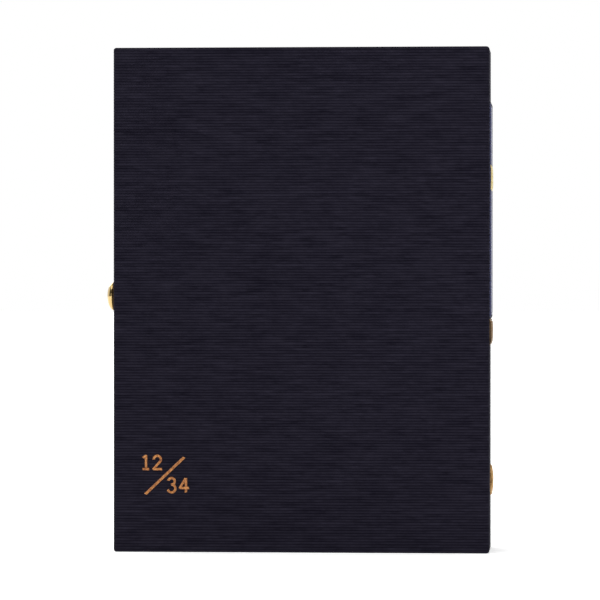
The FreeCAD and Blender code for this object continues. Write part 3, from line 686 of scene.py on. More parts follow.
def lathe(name: str, profile: Sequence[Flat], axis_point: Point, turns: int,
          finish: Finish) -> bpy.types.Object:
    """Turns a profile about an axis along X.

    Args:
        name: the piece's name.
        profile: points (along X, radius), closed, starting and ending on the axis or joined in a ring.
        axis_point: a point on the axis.
        turns: how many faces around.
        finish: what it is made of.

    Returns:
        The object.
    """
    rows = np.array(profile)
    angles = np.linspace(0, 2 * math.pi, turns, endpoint=False)
    points = []
    for angle in angles:
        ring = np.column_stack([rows[:, 0], rows[:, 1] * math.cos(angle), rows[:, 1] * math.sin(angle)])
        points.append(ring + np.array(axis_point))
    made = mesh_object(name, np.concatenate(points), ring_faces(turns, len(rows), True), finish)
    with reworked(made) as work:
        bmesh.ops.remove_doubles(work, verts=work.verts, dist=1e-7)
        bmesh.ops.dissolve_degenerate(work, edges=work.edges, dist=1e-8)
        bmesh.ops.recalc_face_normals(work, faces=work.faces)
    return made


def middle_of(low: Vector, high: Vector, axis: int) -> Flat:
    """The middle of a box, across one axis and up Z."""
    return (low[axis] + high[axis]) / 2, (low.z + high.z) / 2


def arc(centre: Flat, radius: float, start: float, end: float, steps: int) -> list[Flat]:
    """Points on an arc, with its angles in degrees."""
    angles = [math.radians(start + (end - start) * i / steps) for i in range(steps + 1)]
    return [(centre[0] + radius * math.cos(a), centre[1] + radius * math.sin(a)) for a in angles]


# ---------------------------------------------------------------- Geometry Nodes


@dataclass(frozen=True)
class Socket:
    """A named input of a Geometry Nodes tree."""

    name: str
    kind: str
    value: Any = None


class NodeMaker:
    """A Geometry Nodes tree with named inputs, run on a guide mesh to make a finished piece."""

    def __init__(self, name: str, sockets: Sequence[Socket]) -> None:
        """Makes the tree with its inputs and its one output."""
        self.tree = bpy.data.node_groups.new(name, "GeometryNodeTree")
        self.bench = Bench(self.tree)
        face = self.tree.interface
        face.new_socket("Guide", in_out="INPUT", socket_type="NodeSocketGeometry")
        face.new_socket("Made", in_out="OUTPUT", socket_type="NodeSocketGeometry")
        for socket in sockets:
            made = face.new_socket(socket.name, in_out="INPUT", socket_type=socket.kind)
            if socket.value is not None:
                made.default_value = socket.value
        face.new_socket("Finish", in_out="INPUT", socket_type="NodeSocketMaterial")
        self.inputs = self.bench.add("NodeGroupInput").outputs

    def close(self, shape: bpy.types.NodeSocket) -> None:
        """Ends the tree in Realize Instances and Set Material."""
        real = self.bench.add("GeometryNodeRealizeInstances", {}, {0: shape}).outputs[0]
        smooth = self.bench.add("GeometryNodeSetShadeSmooth", {}, {0: real}).outputs[0]
        values = {"Geometry": smooth, "Material": self.inputs["Finish"]}
        done = self.bench.add("GeometryNodeSetMaterial", {}, values).outputs[0]
        self.bench.add("NodeGroupOutput", {}, {0: done})

    def number(self, operation: str, first: Any, second: Any) -> bpy.types.NodeSocket:
        """One Math node."""
        return self.bench.add("ShaderNodeMath", {"operation": operation}, {0: first, 1: second}).outputs[0]

    def vector(self, x: Any, y: Any, z: Any) -> bpy.types.NodeSocket:
        """One Combine XYZ node."""
        return self.bench.add("ShaderNodeCombineXYZ", {}, {0: x, 1: y, 2: z}).outputs[0]

    def chance(self, low: Any, high: Any) -> bpy.types.NodeSocket:
        """A random number for each element, from the tree's own seed."""
        values = {2: low, 3: high, "Seed": self.inputs["Seed"]}
        return self.bench.add("FunctionNodeRandomValue", {"data_type": "FLOAT"}, values).outputs[1]

    def toned(self, shape: Any, domain: str) -> bpy.types.NodeSocket:
        """Stores a random tone on each element, for the thread finish."""
        settings = {"data_type": "FLOAT", "domain": domain}
        values = {"Geometry": shape, "Name": "tone", "Value": self.chance(0.0, 1.0)}
        return self.bench.add("GeometryNodeStoreNamedAttribute", settings, values).outputs[0]

    def tube(self, curve: Any, radius: Any, sides: int) -> bpy.types.NodeSocket:
        """A closed tube along a curve."""
        ring = self.bench.add("GeometryNodeCurvePrimitiveCircle", {},
                              {"Resolution": sides, "Radius": radius})
        values = {"Curve": curve, "Profile Curve": ring.outputs[0], "Fill Caps": True}
        return self.bench.add("GeometryNodeCurveToMesh", {}, values).outputs[0]

    def moved(self, shape: Any, **values: Any) -> bpy.types.NodeSocket:
        """Moves or scales a shape."""
        return self.bench.add("GeometryNodeTransform", {}, {"Geometry": shape, **values}).outputs[0]

    def run(self, name: str, points: Sequence[Any], edges: Sequence[tuple[int, int]], finish: Finish,
            seat: Matrix, **values: Any) -> bpy.types.Object:
        """Runs the tree on a guide.

        Args:
            name: the piece's name.
            points: the guide's points.
            edges: the guide's edges.
            finish: what the piece is made of.
            seat: where the flat drawing goes.
            values: the tree's named inputs.

        Returns:
            The finished mesh object.
        """
        mesh = bpy.data.meshes.new(name)
        mesh.from_pydata([tuple(map(float, p)) for p in points], list(edges), [])
        guide = bpy.data.objects.new(name, mesh)
        bpy.context.scene.collection.objects.link(guide)
        modifier = guide.modifiers.new("make", "NODES")
        modifier.node_group = self.tree
        names = {item.name: item.identifier for item in self.tree.interface.items_tree
                 if item.in_out == "INPUT"}
        for key, value in values.items():
            modifier[names[key.replace("_", " ")]] = value
        modifier[names["Finish"]] = finish.material()
        applied(guide)
        guide.data.transform(seat)
        return guide

    def run_ring(self, name: str, outline: Sequence[Flat], finish: Finish, seat: Matrix,
                 **values: Any) -> bpy.types.Object:
        """Runs the tree on a closed flat line."""
        edges = [(i, (i + 1) % len(outline)) for i in range(len(outline))]
        return self.run(name, [(u, v, 0.0) for u, v in outline], edges, finish, seat, **values)


FLOAT = "NodeSocketFloat"


class SatinAlongGuide(NodeMaker):
    """Short stitches laid side by side across a guide line, over a padded base."""

    def __init__(self) -> None:
        """Builds the tree: points along the guide, one arched stitch on each, and the padding."""
        super().__init__("satin_along_guide", [
            Socket("Spacing", FLOAT, 0.25 * MM),
            Socket("Width", FLOAT, 1.0 * MM),
            Socket("Thread", FLOAT, 0.15 * MM),
            Socket("Rise", FLOAT, 0.35 * MM),
            Socket("Slant", FLOAT, 0.0),
            Socket("Drop", FLOAT, 0.0),
            Socket("Lift", FLOAT, 0.0),
            Socket("Pad", FLOAT, 0.84),
            Socket("Wander", FLOAT, 0.06),
            Socket("Seed", "NodeSocketInt", 1),
        ])
        add, given = self.bench.add, self.inputs
        guide = add("GeometryNodeMeshToCurve", {}, {0: given["Guide"]}).outputs[0]
        points = add("GeometryNodeCurveToPoints", {"mode": "LENGTH"},
                     {"Curve": guide, "Length": given["Spacing"]})
        aim = add("FunctionNodeAlignRotationToVector", {"axis": "X", "pivot_axis": "Z"},
                  {"Vector": points.outputs["Tangent"]})
        low = self.number("SUBTRACT", given["Slant"], given["Wander"])
        high = self.number("ADD", given["Slant"], given["Wander"])
        twist = add("FunctionNodeAxisAngleToRotation", {},
                    {"Axis": (0, 0, 1), "Angle": self.chance(low, high)})
        turned = add("FunctionNodeRotateRotation", {"rotation_space": "LOCAL"},
                     {0: aim.outputs[0], 1: twist.outputs[0]})
        placed = add("GeometryNodeInstanceOnPoints", {}, {
            "Points": points.outputs["Points"], "Instance": self.stitch(), "Rotation": turned.outputs[0]})
        joined = add("GeometryNodeJoinGeometry")
        for part in (self.toned(placed.outputs[0], "INSTANCE"), self.padding(guide)):
            self.tree.links.new(part, joined.inputs[0])
        self.close(self.moved(joined.outputs[0], Translation=self.vector(0.0, 0.0, given["Lift"])))

    def stitch(self) -> bpy.types.NodeSocket:
        """One stitch: a thread over the padding that dives at both ends, deeper outside if it drops."""
        given = self.inputs
        half = self.number("MULTIPLY", given["Width"], 0.5)
        other = self.number("MULTIPLY", given["Width"], -0.5)
        crown = self.number("MULTIPLY", given["Rise"], 2.0)
        fall = self.number("MULTIPLY", given["Drop"], -1.0)
        lean = self.number("MULTIPLY", given["Drop"], -0.47)
        thread = self.bench.add("GeometryNodeCurveQuadraticBezier", {}, {
            "Resolution": 5, "Start": self.vector(0.0, other, fall),
            "Middle": self.vector(0.0, lean, crown), "End": self.vector(0.0, half, 0.0)}).outputs[0]
        return self.tube(thread, given["Thread"], 6)

    def padding(self, guide: bpy.types.NodeSocket) -> bpy.types.NodeSocket:
        """The flattened base that the stitches cover."""
        whole = self.number("MULTIPLY", self.inputs["Width"], self.inputs["Pad"])
        radius = self.number("MULTIPLY", whole, 0.5)
        flat = self.number("DIVIDE", self.inputs["Rise"], radius)
        return self.moved(self.tube(guide, radius, 12), Scale=self.vector(1.0, 1.0, flat))


class ThreadRows(NodeMaker):
    """Long threads laid side by side, one for each edge of the guide, arched over the ground."""

    def __init__(self) -> None:
        """Builds the tree."""
        super().__init__("thread_rows", [
            Socket("Thread", FLOAT, 0.2 * MM),
            Socket("Rise", FLOAT, 0.4 * MM),
            Socket("Stray", FLOAT, 0.03 * MM),
            Socket("Seed", "NodeSocketInt", 2),
        ])
        add, given = self.bench.add, self.inputs
        rows = add("GeometryNodeMeshToCurve", {}, {0: given["Guide"]}).outputs[0]
        fine = add("GeometryNodeResampleCurve", {}, {"Curve": rows, "Count": 9}).outputs[0]
        factor = add("GeometryNodeSplineParameter").outputs["Factor"]
        swing = self.number("SUBTRACT", self.number("MULTIPLY", factor, 2.0), 1.0)
        bow = self.number("SUBTRACT", 1.0, self.number("POWER", self.number("ABSOLUTE", swing, 0.0), 4.0))
        rise = self.number("MULTIPLY", bow, given["Rise"])
        back = self.number("MULTIPLY", given["Stray"], -1.0)
        stray = self.chance(back, given["Stray"])
        offset = self.vector(stray, 0.0, self.number("ADD", rise, stray))
        moved = add("GeometryNodeSetPosition", {}, {"Geometry": fine, "Offset": offset}).outputs[0]
        self.close(self.tube(self.toned(moved, "CURVE"), given["Thread"], 6))


class DomedHeads(NodeMaker):
    """Domed rivet or screw heads at the guide's points, some with a straight slot."""

    def __init__(self) -> None:
        """Builds the tree: a flattened ball on each point, with a bar cut out of it."""
        super().__init__("domed_heads", [
            Socket("Radius", FLOAT, 1.5 * MM),
            Socket("Dome", FLOAT, 0.5 * MM),
            Socket("Slot", FLOAT, 0.0),
            Socket("Seed", "NodeSocketInt", 3),
        ])
        add, given = self.bench.add, self.inputs
        ball = add("GeometryNodeMeshUVSphere", {},
                   {"Segments": 24, "Rings": 12, "Radius": given["Radius"]}).outputs[0]
        flat = self.number("DIVIDE", given["Dome"], given["Radius"])
        dome = self.moved(ball, Scale=self.vector(1.0, 1.0, flat))
        length = self.number("MULTIPLY", given["Radius"], 4.0)
        size = self.vector(length, given["Slot"], given["Dome"])
        bar = add("GeometryNodeMeshCube", {}, {"Size": size}).outputs[0]
        raised = self.moved(bar, Translation=self.vector(0.0, 0.0, given["Dome"]))
        settings = {"operation": "DIFFERENCE", "solver": "EXACT"}
        cut = add("GeometryNodeMeshBoolean", settings, {0: dome, 1: raised}).outputs[0]
        settings = {"data_type": "FLOAT", "operation": "GREATER_THAN"}
        slotted = add("FunctionNodeCompare", settings, {0: given["Slot"], 1: 1e-6}).outputs[0]
        values = {"Switch": slotted, "False": dome, "True": cut}
        chosen = add("GeometryNodeSwitch", {"input_type": "GEOMETRY"}, values).outputs[0]
        values = {"Axis": (0, 0, 1), "Angle": self.chance(0.0, 3.0)}
        spin = add("FunctionNodeAxisAngleToRotation", {}, values).outputs[0]
        points = add("GeometryNodeMeshToPoints", {}, {"Mesh": given["Guide"]}).outputs[0]
        values = {"Points": points, "Instance": chosen, "Rotation": spin}
        self.close(add("GeometryNodeInstanceOnPoints", {}, values).outputs[0])


class CoilMaker(NodeMaker):
    """A helical coil along the drawing's upward axis."""

    def __init__(self) -> None:
        """Builds the tree from a spiral and a round wire."""
        super().__init__("wire_coil", [
            Socket("Turns", FLOAT, 3.0),
            Socket("Radius", FLOAT, 2.6 * MM),
            Socket("Height", FLOAT, 2.0 * MM),
            Socket("Wire", FLOAT, 0.2 * MM),
        ])
        add, given = self.bench.add, self.inputs
        spiral = add("GeometryNodeCurveSpiral", {}, {
            "Resolution": 40, "Rotations": given["Turns"], "Start Radius": given["Radius"],
            "End Radius": given["Radius"], "Height": given["Height"]}).outputs[0]
        self.close(self.tube(spiral, given["Wire"], 10))


class Makers:
    """The four trees, built once."""

    def __init__(self) -> None:
        """Builds them."""
        self.satin = SatinAlongGuide()
        self.rows = ThreadRows()
        self.heads = DomedHeads()
        self.coil = CoilMaker()


# ---------------------------------------------------------------- sizes read from the frame


def packed(node: str, end: int, axis: int | None = None) -> Any:
    """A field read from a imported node's box: one end's corner, or one coordinate of it."""
    return field(default_factory=lambda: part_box(node)[end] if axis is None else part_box(node)[end][axis])


@dataclass
class CaseSizes:
    """The places that several sub-assemblies share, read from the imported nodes."""

    back: Vector = packed("back_cover_cloth", 0)
    front: Vector = packed("front_cover_cloth", 1)
    right: float = packed("spine_cloth", 1, 0)
    spine_end: float = packed("spine_cloth", 1, 1)
    turn_in: float = packed("back_cover_cloth", 1, 1)
    board_inner: float = packed("back_board", 1, 1)
    spine_inner: float = packed("spine_board", 0, 0)
    page_edge: float = packed("back_page_edges", 0, 0)
    page_base: float = packed("back_wall", 0, 0)
    lining_back: float = packed("back_lining", 0, 0)
    rib: float = CANVAS.pitch

    @property
    def left(self) -> float:
        """The covers' fore edge."""
        return self.back.x

    @property
    def top(self) -> float:
        """The covers' head."""
        return self.front.z

    @property
    def hinge(self) -> Vector:
        """A point on the hinge's axis."""
        return Vector(next(j for j in frame["joints"] if j["name"] == "front_cover_hinge")["pos_m"])


# ---------------------------------------------------------------- covers


@dataclass
class CoveredBoards:
    """The canvas over the boards: round the back and spine, over the hinge, and on the front."""

    case: CaseSizes
    edge: float = 1.1 * MM
    spine_edge: float = 1.5 * MM
    rib_rise: float = 0.055 * MM
    turn_step: float = 0.02 * MM
    cover_columns: int = 22
    spine_columns: int = 7
    bend_columns: int = 7
    strip_columns: int = 26
    strip_thick: float = 0.45 * MM
    strip_tuck: float = 0.5 * MM
    strip_gap: float = 0.12 * MM

    def rows(self) -> np.ndarray:
        """Grid lines up the book: four to each rib, and closer at head and tail."""
        low, high = self.edge, self.case.top - self.edge
        step = self.case.rib / 4
        first, last = math.ceil(low / step), math.floor(high / step)
        middle = np.arange(first, last + 1) * step
        middle = middle[(middle > low + step / 2) & (middle < high - step / 2)]
        ease = self.edge * EASE
        return np.concatenate([ease, middle, self.case.top - ease[::-1]])

    def ribs(self, lattice: Lattice, out: np.ndarray, keep: np.ndarray) -> None:
        """Raises the ribs on the outer faces.

        Args:
            lattice: the cover's surface.
            out: the outward direction at each point.
            keep: how much of the rib each point gets, from 0 to 1.
        """
        phase = lattice.points[:, 2] / self.case.rib
        rise = np.sin(math.pi * phase) ** 2 * self.rib_rise
        level = 1.0 - np.abs(out[:, 2])
        lattice.points -= out * ((self.rib_rise - rise) * level * keep)[:, None]

    def window(self, columns: np.ndarray, start: float) -> np.ndarray:
        """Adds a pair of close grid lines where the turned-in cloth stops."""
        step = self.turn_step
        rest = columns[(columns < start - step) | (columns > start + 2 * step)]
        return np.sort(np.concatenate([rest, [start, start + step]]))

    def windowed_rows(self) -> np.ndarray:
        """The grid lines up the book, with close pairs where the turned-in cloth stops at tail and head."""
        inset = self.case.lining_back - self.case.left
        return self.window(self.window(self.rows(), inset), self.case.top - inset - self.turn_step)

    def sunk(self, lattice: Lattice, inner: float, depth: float) -> None:
        """Lowers the inner face inside the turned-in cloth, where the board shows through to the lining."""
        case = self.case
        start = case.lining_back
        inset = start - case.left
        points = lattice.points
        face = np.abs(points[:, 1] - inner) < 1e-6
        inside = (points[:, 0] > start + NEAR) & (points[:, 2] > inset + NEAR)
        inside &= points[:, 2] < case.top - inset - NEAR
        points[face & inside, 1] -= depth

    def back_and_spine(self) -> bpy.types.Object:
        """One bent plate: the back cover, the spine's corner and the spine."""
        case = self.case
        thick = case.turn_in - case.back.y
        radius = self.spine_edge
        bend_start = case.right - radius
        bend_end = bend_start + radius * math.pi / 2
        end = bend_end + case.spine_end - (case.back.y + radius)
        flat = eased(case.left, bend_start, self.edge, self.cover_columns)[:-4]
        turn = np.linspace(bend_start, bend_end, self.bend_columns)
        spine = eased(bend_end, end, self.edge * 0.4, self.spine_columns)[5:]
        columns = np.concatenate([flat[flat < bend_start - 0.1 * MM], turn, spine])
        columns = self.window(columns, case.lining_back)
        depth = eased(0.0, thick, self.edge, 2) + case.back.y
        lattice = Lattice((columns, depth, self.windowed_rows()))
        out = lattice.rounded(self.edge)
        self.ribs(lattice, out, (out[:, 1] < 0.5).astype(float))
        self.sunk(lattice, case.turn_in, case.turn_in - case.board_inner)
        lattice.points = self.bent(lattice.points, bend_start, bend_end, radius)
        piece = lattice.piece("back_and_spine_canvas", CANVAS)
        return settle(piece, "back_half", "navy_canvas", "back_cover_cloth", "spine_cloth")

    def bent(self, points: np.ndarray, start: float, end: float, radius: float) -> np.ndarray:
        """Bends the flat plate round the spine's corner.

        Args:
            points: the flat plate's points.
            start: where the bend begins across the plate.
            end: where it ends.
            radius: the bend's outer radius.

        Returns:
            The bent points, with the inner side mitred.
        """
        case = self.case
        across, deep = points[:, 0], points[:, 1] - case.back.y
        angle = np.clip((across - start) / radius, 0, math.pi / 2)
        reach = radius - deep
        x = np.where(across <= start, across, case.right - radius + reach * np.sin(angle))
        y = np.where(across <= start, case.back.y + deep, case.back.y + radius - reach * np.cos(angle))
        y = np.where(across > end, y + across - end, y)
        board = case.board_inner - case.back.y
        inner = deep > board - NEAR
        x = np.where(inner & (across <= end), np.minimum(x, case.spine_inner), x)
        y = np.where(inner & (across > start), np.maximum(y, case.board_inner), y)
        x = np.where((across > end) & inner, case.spine_inner, x)
        middle = inner & (across > start) & (across <= end)
        x, y = np.where(middle, case.spine_inner, x), np.where(middle, case.board_inner, y)
        return np.column_stack([x, y, points[:, 2]])

    def front_cover(self) -> bpy.types.Object:
        """The flat plate of the front cover."""
        case = self.case
        low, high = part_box("front_cover_cloth")
        columns = self.window(eased(low.x, high.x, self.edge, self.cover_columns), case.lining_back)
        depth = eased(low.y, high.y, self.edge, 2)
        lattice = Lattice((columns, depth, self.windowed_rows()))
        out = lattice.rounded(self.edge)
        self.ribs(lattice, out, (out[:, 1] > -0.5).astype(float))
        self.sunk(lattice, low.y, -(case.turn_in - case.board_inner))
        return settle(lattice.piece("front_canvas", CANVAS), "front_half", "navy_canvas", "front_cover_cloth")

    def over_the_hinge(self) -> bpy.types.Object:
        """The strip that wraps the barrel."""
        case = self.case
        low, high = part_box("joint_cloth")
        hinge = case.hinge
        outer = high.x - hinge.x - self.strip_gap
        straight_low = hinge.y - low.y + self.strip_tuck
        straight_high = hinge.x - low.x + self.strip_tuck
        turn = outer * math.pi / 2
        columns = np.linspace(0.0, straight_low + turn + straight_high, self.strip_columns)
        depth = np.linspace(0.0, self.strip_thick, 3)
        rows = self.rows()
        rows = rows[(rows >= self.edge * 0.7) & (rows <= case.top - self.edge * 0.7)]
        lattice = Lattice((columns, depth, rows))
        points = lattice.points
        across, deep = points[:, 0], points[:, 1]
        rise = np.sin(math.pi * points[:, 2] / case.rib) ** 2 * self.rib_rise
        deep = np.where(deep < 1e-9, deep + self.rib_rise - rise, deep)
        angle = np.clip((across - straight_low) / outer, 0, math.pi / 2)
        reach = outer - deep
        x = hinge.x + reach * np.cos(angle) - np.clip(across - straight_low - turn, 0, None)
        y = hinge.y + reach * np.sin(angle) - np.clip(straight_low - across, 0, None)
        lattice.points = np.column_stack([x, y, points[:, 2]])
        piece = cleaned(lattice.piece("hinge_canvas", CANVAS), 1e-8, True)
        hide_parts("joint_cloth")
        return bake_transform(piece)

    def build(self) -> None:
        """Makes the three pieces and dresses the boards under them."""
        self.back_and_spine()
        self.front_cover()
        self.over_the_hinge()
        for name in ("back_board", "front_board", "spine_board"):
            finish_node(name, BINDERS_BOARD)


# ---------------------------------------------------------------- page edges, rims, walls and linings


@dataclass
class PageBlock:
    """The walls that look like the edges of the leaves, with the brass rims where the halves meet."""

    case: CaseSizes
    cord: float = 0.93 * MM
    cord_rise: float = 0.16 * MM
    rim_round: float = 0.38 * MM
    rim_lap: float = 0.4 * MM
    rim_corner: float = 0.6 * MM
    page_corner: float = 0.5 * MM
    cord_shares: tuple[float, ...] = (0.06, 0.25, 0.5, 0.75, 0.94)

    def route(self, inset: float, end: float, corner: float) -> tuple[np.ndarray, np.ndarray]:
        """A path along tail, fore edge and head.

        Args:
            inset: its distance in from the covers' edges.
            end: where it stops at the spine.
            corner: the radius of its two corners.

        Returns:
            Its points and the outward direction at each, as (x, z).
        """
        low_x, low_z = self.case.left + inset, inset
        high_z = self.case.top - inset
        points, outs = [(end, low_z)], [(0.0, -1.0)]
        for centre_z, start in ((low_z + corner, 270.0), (high_z - corner, 180.0)):
            for i in range(7):
                angle = math.radians(start - i * 15.0)
                out = (math.cos(angle), math.sin(angle))
                points.append((low_x + corner + corner * out[0], centre_z + corner * out[1]))
                outs.append(out)
        points.append((end, high_z))
        outs.append((0.0, 1.0))
        return np.array(points), np.array(outs)

    def corded_band(self, name: str, node: str, body: str) -> None:
        """A band of corded cream cloth on one half's walls."""
        low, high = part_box(node)
        count = round((high.y - low.y) / self.cord)
        step = (high.y - low.y) / count
        proud = self.case.page_base - self.case.page_edge
        outer: list[Flat] = []
        for i in range(count):
            for share in self.cord_shares:
                rise = self.cord_rise * math.sin(math.pi * share)
                outer.append((proud - self.cord_rise + rise, low.y + (i + share) * step))
        profile = [(0.0, low.y), *outer, (0.0, high.y)]
        path, outs = self.route(self.case.page_base - self.case.left, high.x, self.page_corner)
        settle(swept(name, path, outs, profile, PAGE_CLOTH), body, "page_cloth", node)

    def rim(self, name: str, node: str, body: str) -> None:
        """A brass rim with eased edges."""
        low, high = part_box(node)
        outset = self.case.lining_back - low.x + self.rim_lap
        radius = self.rim_round
        profile: list[Flat] = []
        corners = ((outset - radius, low.y + radius, 270), (outset - radius, high.y - radius, 0),
                   (radius, high.y - radius, 90), (radius, low.y + radius, 180))
        for out, y, start in corners:
            profile += arc((out, y), radius, start, start + 90, 4)
        inset = self.case.lining_back + self.rim_lap - self.case.left
        path, outs = self.route(inset, high.x, self.rim_corner)
        settle(swept(name, path, outs, profile, POLISHED_BRASS), body, "polished_brass", node)

    def build(self) -> None:
        """Makes the bands and rims, and dresses the walls and pins."""
        for half in ("back", "front"):
            self.corded_band(f"{half}_leaf_edges", f"{half}_page_edges", f"{half}_half")
            self.rim(f"{half}_rim_polished", f"{half}_brass_rim", f"{half}_half")
            finish_node(f"{half}_wall", SHELL)
            finish_node(f"{half}_rim_pins", ROLLED_BRASS)


@dataclass
class Linings:
    """The cotton that lines both halves, laid over thin wadding."""

    case: CaseSizes
    thick: float = 0.34 * MM
    corner: float = 1.3 * MM
    swell: float = 0.10 * MM
    beyond: float = 6 * MM
    skin: float = 0.4 * MM

    def tray(self, name: str, node: str, body: str, open_spine: bool) -> None:
        """Lines one half: its floor and the walls around it.

        Args:
            name: the piece's name.
            node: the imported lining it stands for.
            body: the half it rides on.
            open_spine: True where there is no wall at the spine.
        """
        low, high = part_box(node)
        facing = 1.0 if node.startswith("back") else -1.0
        x = low.x + self.skin, high.x + (self.beyond if open_spine else 0.0)
        z = low.z + self.skin, high.z - self.skin
        depth = high.y - low.y - self.skin
        lattice = Lattice((eased(*x, self.corner, 34), eased(0.0, depth + self.beyond, self.corner, 12),
                           eased(*z, self.corner, 44)))
        out = lattice.rounded(self.corner)
        points = lattice.points
        wave = np.sin(points[:, 0] * 190 + points[:, 2] * 60)
        wave *= np.sin(points[:, 2] * 150 - points[:, 1] * 260)
        points -= out * ((0.5 + 0.5 * wave) * self.swell)[:, None]
        limit_x = high.x if open_spine else high.x + 1.0
        keep = []
        for face in np.concatenate(lattice.faces):
            centre = points[face].mean(0)
            if centre[1] < depth and centre[0] < limit_x:
                keep.append(face)
        points[:, 1] = np.minimum(points[:, 1], depth - 0.05 * MM)
        points[:, 0] = np.minimum(points[:, 0], limit_x)
        if facing > 0:
            points[:, 1] = low.y + self.skin + points[:, 1]
            keep = [face[::-1] for face in keep]
        else:
            points[:, 1] = high.y - self.skin - points[:, 1]
        piece = cleaned(mesh_object(name, points, keep, LINING))
        with reworked(piece) as work:
            bmesh.ops.delete(work, geom=[v for v in work.verts if not v.link_faces], context="VERTS")
        shell = piece.modifiers.new("skin", "SOLIDIFY")
        shell.thickness = self.thick
        shell.offset = -1.0
        settle(applied(piece), body, "lining_cloth", node)

    def spine_strip(self) -> None:
        """The strip of lining on the spine board beside the hinge leaf."""
        low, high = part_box("spine_lining")
        edge = 0.15 * MM
        lattice = Lattice(tuple(eased(low[i], high[i], edge, count) for i, count in enumerate((2, 8, 40))))
        lattice.rounded(edge)
        settle(lattice.piece("spine_strip_cotton", LINING), "back_half", "lining_cloth", "spine_lining")

    def build(self) -> None:
        """Lines both halves."""
        self.tray("back_tray_cotton", "back_lining", "back_half", False)
        self.tray("front_tray_cotton", "front_lining", "front_half", True)
        self.spine_strip()


# ---------------------------------------------------------------- hinge and catch


@dataclass
class Metalwork:
    """The hinge, the button and the spring catch."""

    makers: Makers
    leaf_head: float = 1.5 * MM
    catch_head: float = 1.4 * MM
    dome: float = 0.5 * MM

    def heads(self, name: str, node: str, body: str, seat: Matrix, places: Sequence[Point],
              slot_width: float) -> None:
        """Domed heads that stand for a group of rivets or screws.

        Args:
            name: the piece's name.
            node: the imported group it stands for.
            body: the body it rides on.
            seat: the frame of the places.
            places: where each head sits, in (across, up, out).
            slot_width: the width of the screwdriver slot, or 0.
        """
        finish, slot = (SPRING_STEEL, "steel") if slot_width else (ROLLED_BRASS, "satin_brass")
        radius = self.leaf_head if "leaf" in node else self.catch_head
        piece = self.makers.heads.run(name, places, [], finish, seat, Radius=radius, Dome=self.dome,
                                      Slot=slot_width)
        settle(piece, body, slot, node)

    @staticmethod
    def centres(node: str, axis: int) -> list[Vector]:
        """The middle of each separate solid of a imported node, at its lowest point along an axis."""
        work = bmesh.new()
        work.from_mesh(frame["nodes"][node].data)
        bmesh.ops.remove_doubles(work, verts=work.verts, dist=1e-6)
        found, seen = [], set()
        for start in work.verts:
            if start in seen:
                continue
            group, queue = [], [start]
            seen.add(start)
            while queue:
                vert = queue.pop()
                group.append(vert.co.copy())
                for edge in vert.link_edges:
                    other = edge.other_vert(vert)
                    if other not in seen:
                        seen.add(other)
                        queue.append(other)
            low = Vector([min(c[i] for c in group) for i in range(3)])
            high = Vector([max(c[i] for c in group) for i in range(3)])
            middle = (low + high) / 2
            middle[axis] = low[axis]
            found.append(middle)
        work.free()
        return sorted(found, key=lambda v: v.z)

    def fastenings(self) -> None:
        """Replaces every group of rivets and screws whose heads show."""
        inward = Side.SPINE.seat(Vector((0, 0, 0)))
        groups = (("catch_rivets", "back_half", 0.0), ("keeper_rivets", "front_half", 0.0),
                  ("housing_screws", "back_half", 0.35 * MM))
        for node, body, slot_width in groups:
            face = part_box(node)[1].x - self.dome
            places = [(c.y, c.z, face) for c in self.centres(node, 0)]
            self.heads(f"{node}_domed", node, body, inward, places, slot_width)
        facing_left = Matrix(((0, 0, -1, 0), (-1, 0, 0, 0), (0, 1, 0, 0), (0, 0, 0, 1)))
        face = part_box("spine_leaf_rivets")[0].x + self.dome
        places = [(-c.y, c.z, -face) for c in self.centres("spine_leaf_rivets", 0)]
        self.heads("spine_leaf_rivets_domed", "spine_leaf_rivets", "back_half", facing_left, places, 0.0)
        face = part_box("front_leaf_rivets")[0].y + self.dome
        places = [(c.x, c.z, -face) for c in self.centres("front_leaf_rivets", 1)]
        self.heads("front_leaf_rivets_domed", "front_leaf_rivets", "front_half",
                   Side.BACK.seat(Vector((0, 0, 0))), places, 0.0)

    def button(self) -> None:
        """The polished press button, a hollow dome, and the collar behind it, whose near-black colour is
        painted shadow under the dome.
        """
        low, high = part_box("button_head")
        axis = (0.0, *middle_of(low, high, 1))
        wide = (high.y - low.y) / 2
        face, skirt = low.x, high.x
        crown, lip, edge, bore = 2.9 * MM, 2.3 * MM, 0.12 * MM, 4.25 * MM
        hollow, shoulder = 1.2 * MM, 0.3
        turn = math.acos(1.0 - lip / crown)
        dome = [(face + crown * (1 - math.cos(t)) * math.sin(t) ** shoulder, wide * math.sin(t))
                for t in np.linspace(0, turn, 20)]
        rim = dome[-1][1]
        under = [(face + lip + edge, rim - edge * 0.4), (face + lip + edge, bore), (face + hollow, bore)]
        inside = [(face + hollow, 0.0)]
        neck = wide - edge
        foot = [(face + lip + 0.05 * MM, bore), (face + lip + 0.05 * MM, rim - 0.35 * MM),
                (face + lip + 0.3 * MM, rim - 0.15 * MM), (face + crown + 0.1 * MM, neck), (skirt - edge,
                                                                                            neck)]
        collar = [*foot, (skirt, neck - edge), (skirt, bore)]
        piece = lathe("press_button", dome + under + inside, axis, 72, POLISHED_BRASS)
        settle(piece, "button", "polished_brass", "button_head")
        # The collar is coloured near-black as painted shadow under the dome.
        piece = lathe("button_shadow_collar", collar, axis, 72, SHADOW_BRASS)
        settle(piece, "button", "polished_brass", "button_head")

    def spring(self) -> None:
        """The coil between the button and its bezel."""
        low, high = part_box("button_spring")
        wire = 0.2 * MM
        centre_y, centre_z = middle_of(low, high, 1)
        seat = Side.SPINE.seat(Vector((low.x + wire, centre_y, centre_z)))
        radius = (high.y - low.y) / 2 - wire
        piece = self.makers.coil.run("return_spring", [(0, 0, 0)], [], SPRING_STEEL, seat, Turns=3.0,
                                     Radius=radius,
                                     Height=high.x - low.x - 2 * wire, Wire=wire)
        settle(piece, "back_half", "steel", "button_spring")
        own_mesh(piece)

